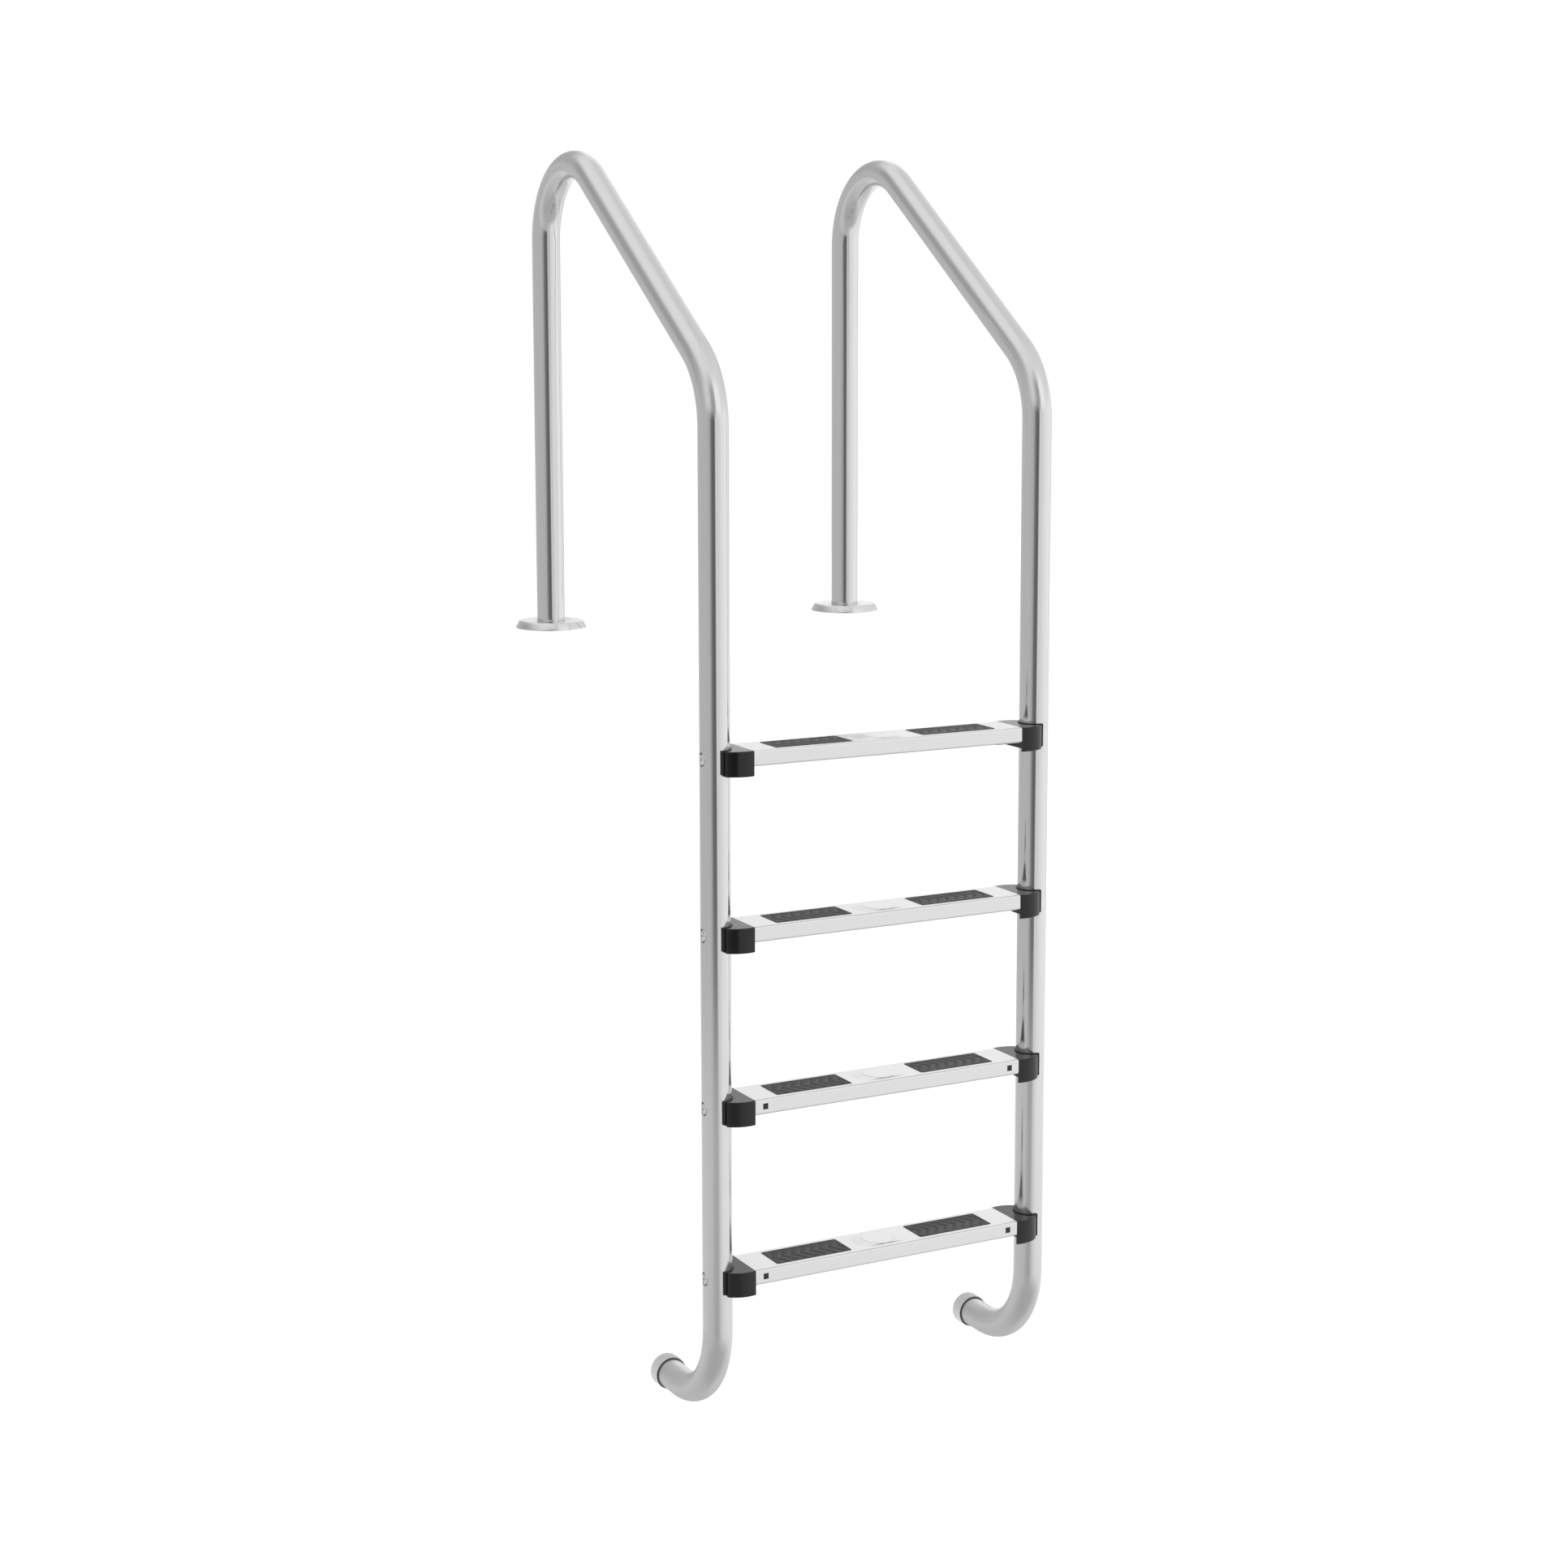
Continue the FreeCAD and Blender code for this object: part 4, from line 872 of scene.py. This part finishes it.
def mould_cap(snapped, front):
    """An end cap whose tube stands at the origin; snapped adds a tab on the side of front."""
    bm = bmesh.new()
    inner, ear = Vector((-CAP_REACH, CAP_HALF, 0.0)), Vector((*EAR_PLACE, 0.0))
    centre, angle = bow_centre(inner, ear)
    back_bow = swing_point(bm, inner, centre, angle, BOW_STEPS)
    low = Matrix.Scale(-1.0, 4, (0.0, 1.0, 0.0))
    front_bow = swing_point(bm, low @ inner, low @ centre, -angle, BOW_STEPS)
    tip = Vector((EAR_PLACE[0], (CAP_BORE ** 2 - EAR_PLACE[0] ** 2) ** 0.5, 0.0))
    sweep = 2 * (pi - tip.xy.angle_signed(Vector((1.0, 0.0))))
    bore = swing_point(bm, tip, (0.0, 0.0, 0.0), sweep, BORE_STEPS)
    for first, last in ((front_bow[0], back_bow[0]), (back_bow[-1], bore[0]),
                        (bore[-1], front_bow[-1])):
        bm.edges.new((first, last))
    bmesh.ops.edgeloop_fill(bm, edges=bm.edges[:])
    ears = [back_bow[-1], front_bow[-1]]
    bmesh.ops.bevel(bm, geom=ears, offset=EAR_ROUND, segments=5, profile=0.5,
                    affect="VERTICES", material=-1)
    grown = bmesh.ops.extrude_face_region(bm, geom=bm.faces[:])["geom"]
    verts, _ = split_kinds(grown)
    bmesh.ops.translate(bm, verts=verts, vec=(0.0, 0.0, -CAP_HEIGHT))
    bmesh.ops.recalc_face_normals(bm, faces=bm.faces)

    def on_rim(edge):
        level = abs(edge.verts[0].co.z - edge.verts[1].co.z) < HAIR
        place = middle_of(edge)
        return (level and place.x > -CAP_REACH + HAIR
                and place.xy.length > CAP_BORE + CLOSE)

    soften(bm, CAP_EDGE, on_rim, segments=5, clamp_overlap=False)
    hollow_skirt(bm)
    plug = (-CAP_REACH - PLUG_LONG / 2 + PLUG_BITE / 2, 0.0, (PLUG_TOP + PLUG_LOW) / 2)
    add_block(bm, plug, (PLUG_LONG + PLUG_BITE, 2 * PLUG_HALF, PLUG_TOP - PLUG_LOW), PLUG_EDGE)
    if snapped:
        tab = (-CAP_REACH - (HALF_LENGTH - SNAP_PLACE[0]), front * (PLUG_HALF + TAB_PROUD),
               SNAP_PLACE[1])
        add_block(bm, tab, TAB_SIZE, TAB_EDGE)
    return bm


def hollow_skirt(bm):
    """Below the tread the cap is a wall: a pocket open downwards and towards the tread."""
    cut_across(bm, (SKIRT_LONG - CAP_REACH, 0.0, 0.0), (1.0, 0.0, 0.0))
    for hand in (-1, 1):
        cut_across(bm, (0.0, hand * SKIRT_HALF, 0.0), (0.0, 1.0, 0.0))
    cut_across(bm, (0.0, 0.0, SKIRT_DEEP - CAP_HEIGHT), (0.0, 0.0, 1.0))
    floor = [face for face in bm.faces if face.normal.z < -0.999
             and middle_of(face).x < SKIRT_LONG - CAP_REACH
             and abs(middle_of(face).y) < SKIRT_HALF]
    grown = bmesh.ops.extrude_face_region(bm, geom=floor)["geom"]
    verts, _ = split_kinds(grown)
    bmesh.ops.translate(bm, verts=verts, vec=(0.0, 0.0, SKIRT_DEEP))
    open_side = [face for face in bm.faces
                 if all(vert.co.x < -CAP_REACH + HAIR for vert in face.verts)
                 and abs(middle_of(face).y) < SKIRT_HALF
                 and middle_of(face).z < SKIRT_DEEP - CAP_HEIGHT]
    old = [face for face in floor if face.is_valid]
    bmesh.ops.delete(bm, geom=open_side + old, context="FACES")
    bmesh.ops.remove_doubles(bm, verts=bm.verts, dist=MERGE_REACH)
    bmesh.ops.recalc_face_normals(bm, faces=bm.faces)


def add_block(bm, centre, size, edge):
    """A box with softened edges, as a shell of its own."""
    made = bmesh.ops.create_cube(bm, size=1.0)["verts"]
    bmesh.ops.scale(bm, verts=made, vec=size)
    bmesh.ops.translate(bm, verts=made, vec=centre)
    edges = list({edge for vert in made for edge in vert.link_edges})
    bmesh.ops.bevel(bm, geom=edges, offset=edge, segments=3, profile=0.5, affect="EDGES",
                    material=-1)


def stand_at(bm, number, side):
    """Moves a piece made round the origin to its end of a tread, facing the rail."""
    if side == "left":
        bmesh.ops.rotate(bm, verts=bm.verts, matrix=Matrix.Rotation(pi, 3, "Z"))
    spot = tread_place[number] + Vector((rail_x[side], 0.0, 0.0))
    bmesh.ops.translate(bm, verts=bm.verts, vec=spot)


for number in range(1, TREADS + 1):
    for side, hand in SIDES.items():
        bm = mould_cap(number in SNAPPED, -hand)
        stand_at(bm, number, side)
        cap = place_piece(bm, f"tread_{number}_{side}_end_cap", "ladder", cap_plastic,
                          "cap_plastic", f"tread_{number}_{side}_cap")
        level_normals(cap)

# ------------------------------------------------------------------ liners
# A soft sleeve between each cap and its tube, a little over half way round, stands
# slightly proud of the cap and keeps the two from rubbing.
LINER_IN, LINER_OUT = 0.02155, 0.02405
LINER_TOP, LINER_LOW = 0.001, -0.033
LINER_START = radians(86.2)
LINER_STEPS = 60
SOFT_EDGE = 0.0005                # rounding of the liners, bumpers and dark mouth rings
liner_rubber = finish_moulding("liner_rubber", (0.009, 0.009, 0.009), (0.017, 0.017, 0.017),
                               (0.03, 0.03, 0.03), specular=0.35, rub=0.3,
                               grain_scale=1300.0, patch_scale=50.0, roughness=0.42,
                               roughness_spread=0.2, height=0.00002)
for number in range(1, TREADS + 1):
    for side in SIDES:
        bm = bmesh.new()
        outline = [bm.verts.new((radius, 0.0, z)) for radius, z in (
            (LINER_IN, LINER_TOP), (LINER_OUT, LINER_TOP),
            (LINER_OUT, LINER_LOW), (LINER_IN, LINER_LOW))]
        bmesh.ops.rotate(bm, verts=outline, matrix=Matrix.Rotation(LINER_START, 3, "Z"))
        face = bm.faces.new(outline)
        bmesh.ops.spin(bm, geom=[face], cent=(0.0, 0.0, 0.0), axis=(0.0, 0.0, 1.0),
                       angle=2 * (pi - LINER_START), steps=LINER_STEPS, use_duplicate=False)
        bmesh.ops.remove_doubles(bm, verts=bm.verts, dist=MERGE_REACH)
        bmesh.ops.recalc_face_normals(bm, faces=bm.faces)
        soften(bm, SOFT_EDGE, is_corner, segments=3)
        stand_at(bm, number, side)
        place_piece(bm, f"tread_{number}_{side}_sleeve", "ladder", liner_rubber,
                    "liner_rubber", f"tread_{number}_{side}_liner")

# ------------------------------------------------------------------ bolts
# One stainless button-head bolt holds each cap: a turned dome with a hexagon key hole
# and a plain shank through the tube. It seats on a washer in the dimple, and the nut
# sits inside the plug.
SHANK_RADIUS = 0.004
SHANK_LONG = 0.0625
HEAD_SEAT = 0.018
KEY_RADIUS = 0.00289
KEY_SINK = 0.0028
KEY_LEAD = 0.0002
HEAD_SIDES = 48
HEAD_RINGS = ((0.0080, 0.0008), (0.00785, 0.0012), (0.0074, 0.0018), (0.0067, 0.0024),
              (0.0058, 0.0029), (0.0047, 0.0034), (0.0038, 0.0036), (0.0034, 0.0037))
bolt_steel = finish_steel("bolt_steel", (0.88, 0.88, 0.88), grain_scale=900.0,
                          patch_scale=60.0, roughness=0.16, roughness_spread=0.16,
                          height=0.000003)
nut_steel = finish_steel("nut_steel", (0.66, 0.66, 0.66), grain_scale=900.0,
                         patch_scale=60.0, roughness=0.30, roughness_spread=0.2,
                         height=0.00001)
washer_plastic = finish_moulding("washer_plastic", (0.03, 0.03, 0.03), (0.06, 0.06, 0.06),
                                 (0.1, 0.1, 0.1), grain_scale=1300.0, patch_scale=90.0,
                                 roughness=0.4, roughness_spread=0.2, height=0.00001)


def turn_bolt():
    """A bolt along +Z, seated at the origin: rings drawn up over the dome and down the shank."""
    bm = bmesh.new()
    bmesh.ops.create_circle(bm, segments=HEAD_SIDES, radius=HEAD_RINGS[0][0])
    seat = bm.edges[:]
    ring, radius, height = seat, HEAD_RINGS[0][0], 0.0
    for wide, high in HEAD_RINGS:
        verts, ring = split_kinds(bmesh.ops.extrude_edge_only(bm, edges=ring)["geom"])
        bmesh.ops.scale(bm, verts=verts, vec=(wide / radius, wide / radius, 1.0))
        bmesh.ops.translate(bm, verts=verts, vec=(0.0, 0.0, high - height))
        radius, height = wide, high
    made = bmesh.ops.create_circle(bm, segments=6, radius=KEY_RADIUS,
                                   matrix=Matrix.Translation((0.0, 0.0, height - KEY_LEAD)))
    key = list({edge for vert in made["verts"] for edge in vert.link_edges})
    bmesh.ops.bridge_loops(bm, edges=ring + key)
    verts, floor = split_kinds(bmesh.ops.extrude_edge_only(bm, edges=key)["geom"])
    bmesh.ops.translate(bm, verts=verts, vec=(0.0, 0.0, -KEY_SINK))
    bmesh.ops.edgeloop_fill(bm, edges=floor)
    verts, ring = split_kinds(bmesh.ops.extrude_edge_only(bm, edges=seat)["geom"])
    bmesh.ops.scale(bm, verts=verts, vec=(SHANK_RADIUS / HEAD_RINGS[0][0],) * 2 + (1.0,))
    verts, ring = split_kinds(bmesh.ops.extrude_edge_only(bm, edges=ring)["geom"])
    bmesh.ops.translate(bm, verts=verts, vec=(0.0, 0.0, -SHANK_LONG))
    bmesh.ops.edgeloop_fill(bm, edges=ring)
    bmesh.ops.recalc_face_normals(bm, faces=bm.faces)
    return bm


for side, hand in SIDES.items():
    row = bmesh.new()
    for number in range(1, TREADS + 1):
        one = turn_bolt()
        bmesh.ops.rotate(one, verts=one.verts, matrix=Matrix.Rotation(hand * pi / 2, 3, "Y"))
        spot = tread_place[number] + Vector((rail_x[side] + hand * HEAD_SEAT, 0.0, -BOLT_DROP))
        bmesh.ops.translate(one, verts=one.verts, vec=spot)
        loose = make_mesh(one, "bolt")
        row.from_mesh(loose)
        bpy.data.meshes.remove(loose)
    place_piece(row, f"{side}_button_bolts", "ladder", bolt_steel, "bolt_steel",
                f"{side}_bolts", crease=50)
    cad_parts[f"{side}_washers"].material_slots[0].material = washer_plastic
    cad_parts[f"{side}_nuts"].material_slots[0].material = nut_steel

# ------------------------------------------------------------------ foot bumpers
# Pale moulded rubber cups pushed over the ends of the feet, rounded at the nose, rest
# on the pool wall. A thin dark ring sits in the mouth of each, between cup and tube.
BUMPER_OUT = 0.0245
BUMPER_IN = 0.02155
BUMPER_MOUTH = 0.02335
BUMPER_NOSE = 0.005
BUMPER_GRIP = 0.021
BUMPER_ROUND = 0.008
MOUTH_RING_OUT = 0.0233
MOUTH_RING_WIDE = 0.002
FOOT_GAP = 0.00005                # left free at the tube's end and behind the dark ring
FOOT_SIDES = 96
bumper_rubber = finish_moulding("bumper_rubber", (0.70, 0.70, 0.695), (0.80, 0.80, 0.795),
                                (0.66, 0.66, 0.65), rub=0.3, grain_scale=1200.0,
                                patch_scale=35.0, roughness=0.5, roughness_spread=0.2,
                                height=0.00003)
# Dark grey, much darker than the pale cup, for the thin ring that sits in each bumper's mouth.
seal_rubber = finish_moulding("seal_rubber", (0.07, 0.07, 0.07), (0.10, 0.10, 0.10),
                              (0.14, 0.14, 0.14), grain_scale=1300.0, patch_scale=60.0,
                              roughness=0.5, roughness_spread=0.2, height=0.00001)
for side in SIDES:
    end = Vector((rail_x[side], FOOT_RUN - REACH, -FOOT_DROP))
    bm = bmesh.new()
    spin_profile(bm, [(0.0, y, radius) for y, radius in (
        (BUMPER_NOSE, 0.0), (BUMPER_NOSE, BUMPER_OUT), (-BUMPER_GRIP, BUMPER_OUT),
        (-BUMPER_GRIP, BUMPER_MOUTH), (MOUTH_RING_WIDE - BUMPER_GRIP, BUMPER_MOUTH),
        (MOUTH_RING_WIDE - BUMPER_GRIP, BUMPER_IN), (FOOT_GAP, BUMPER_IN), (FOOT_GAP, 0.0))],
        (0.0, 0.0, 0.0), (0.0, 1.0, 0.0), FOOT_SIDES)
    soften(bm, BUMPER_ROUND, lambda edge: middle_of(edge).y > BUMPER_NOSE - HAIR
           and is_corner(edge), segments=10)
    soften(bm, SOFT_EDGE, lambda edge: is_corner(edge)
           and middle_of(edge).y < -BUMPER_GRIP + HAIR, segments=3)
    bmesh.ops.translate(bm, verts=bm.verts, vec=end)
    place_piece(bm, f"{side}_bumper_cup", "ladder", bumper_rubber, "bumper_rubber",
                f"{side}_foot_bumper")
    bm = bmesh.new()
    spin_profile(bm, [(0.0, y, radius) for y, radius in (
        (-BUMPER_GRIP, BUMPER_IN), (-BUMPER_GRIP, MOUTH_RING_OUT),
        (MOUTH_RING_WIDE - BUMPER_GRIP - FOOT_GAP, MOUTH_RING_OUT),
        (MOUTH_RING_WIDE - BUMPER_GRIP - FOOT_GAP, BUMPER_IN))],
        (0.0, 0.0, 0.0), (0.0, 1.0, 0.0), FOOT_SIDES)
    soften(bm, SOFT_EDGE, is_corner, segments=3)
    bmesh.ops.translate(bm, verts=bm.verts, vec=end)
    place_piece(bm, f"{side}_mouth_ring", "ladder", seal_rubber, "seal_rubber",
                f"{side}_bumper_seal")
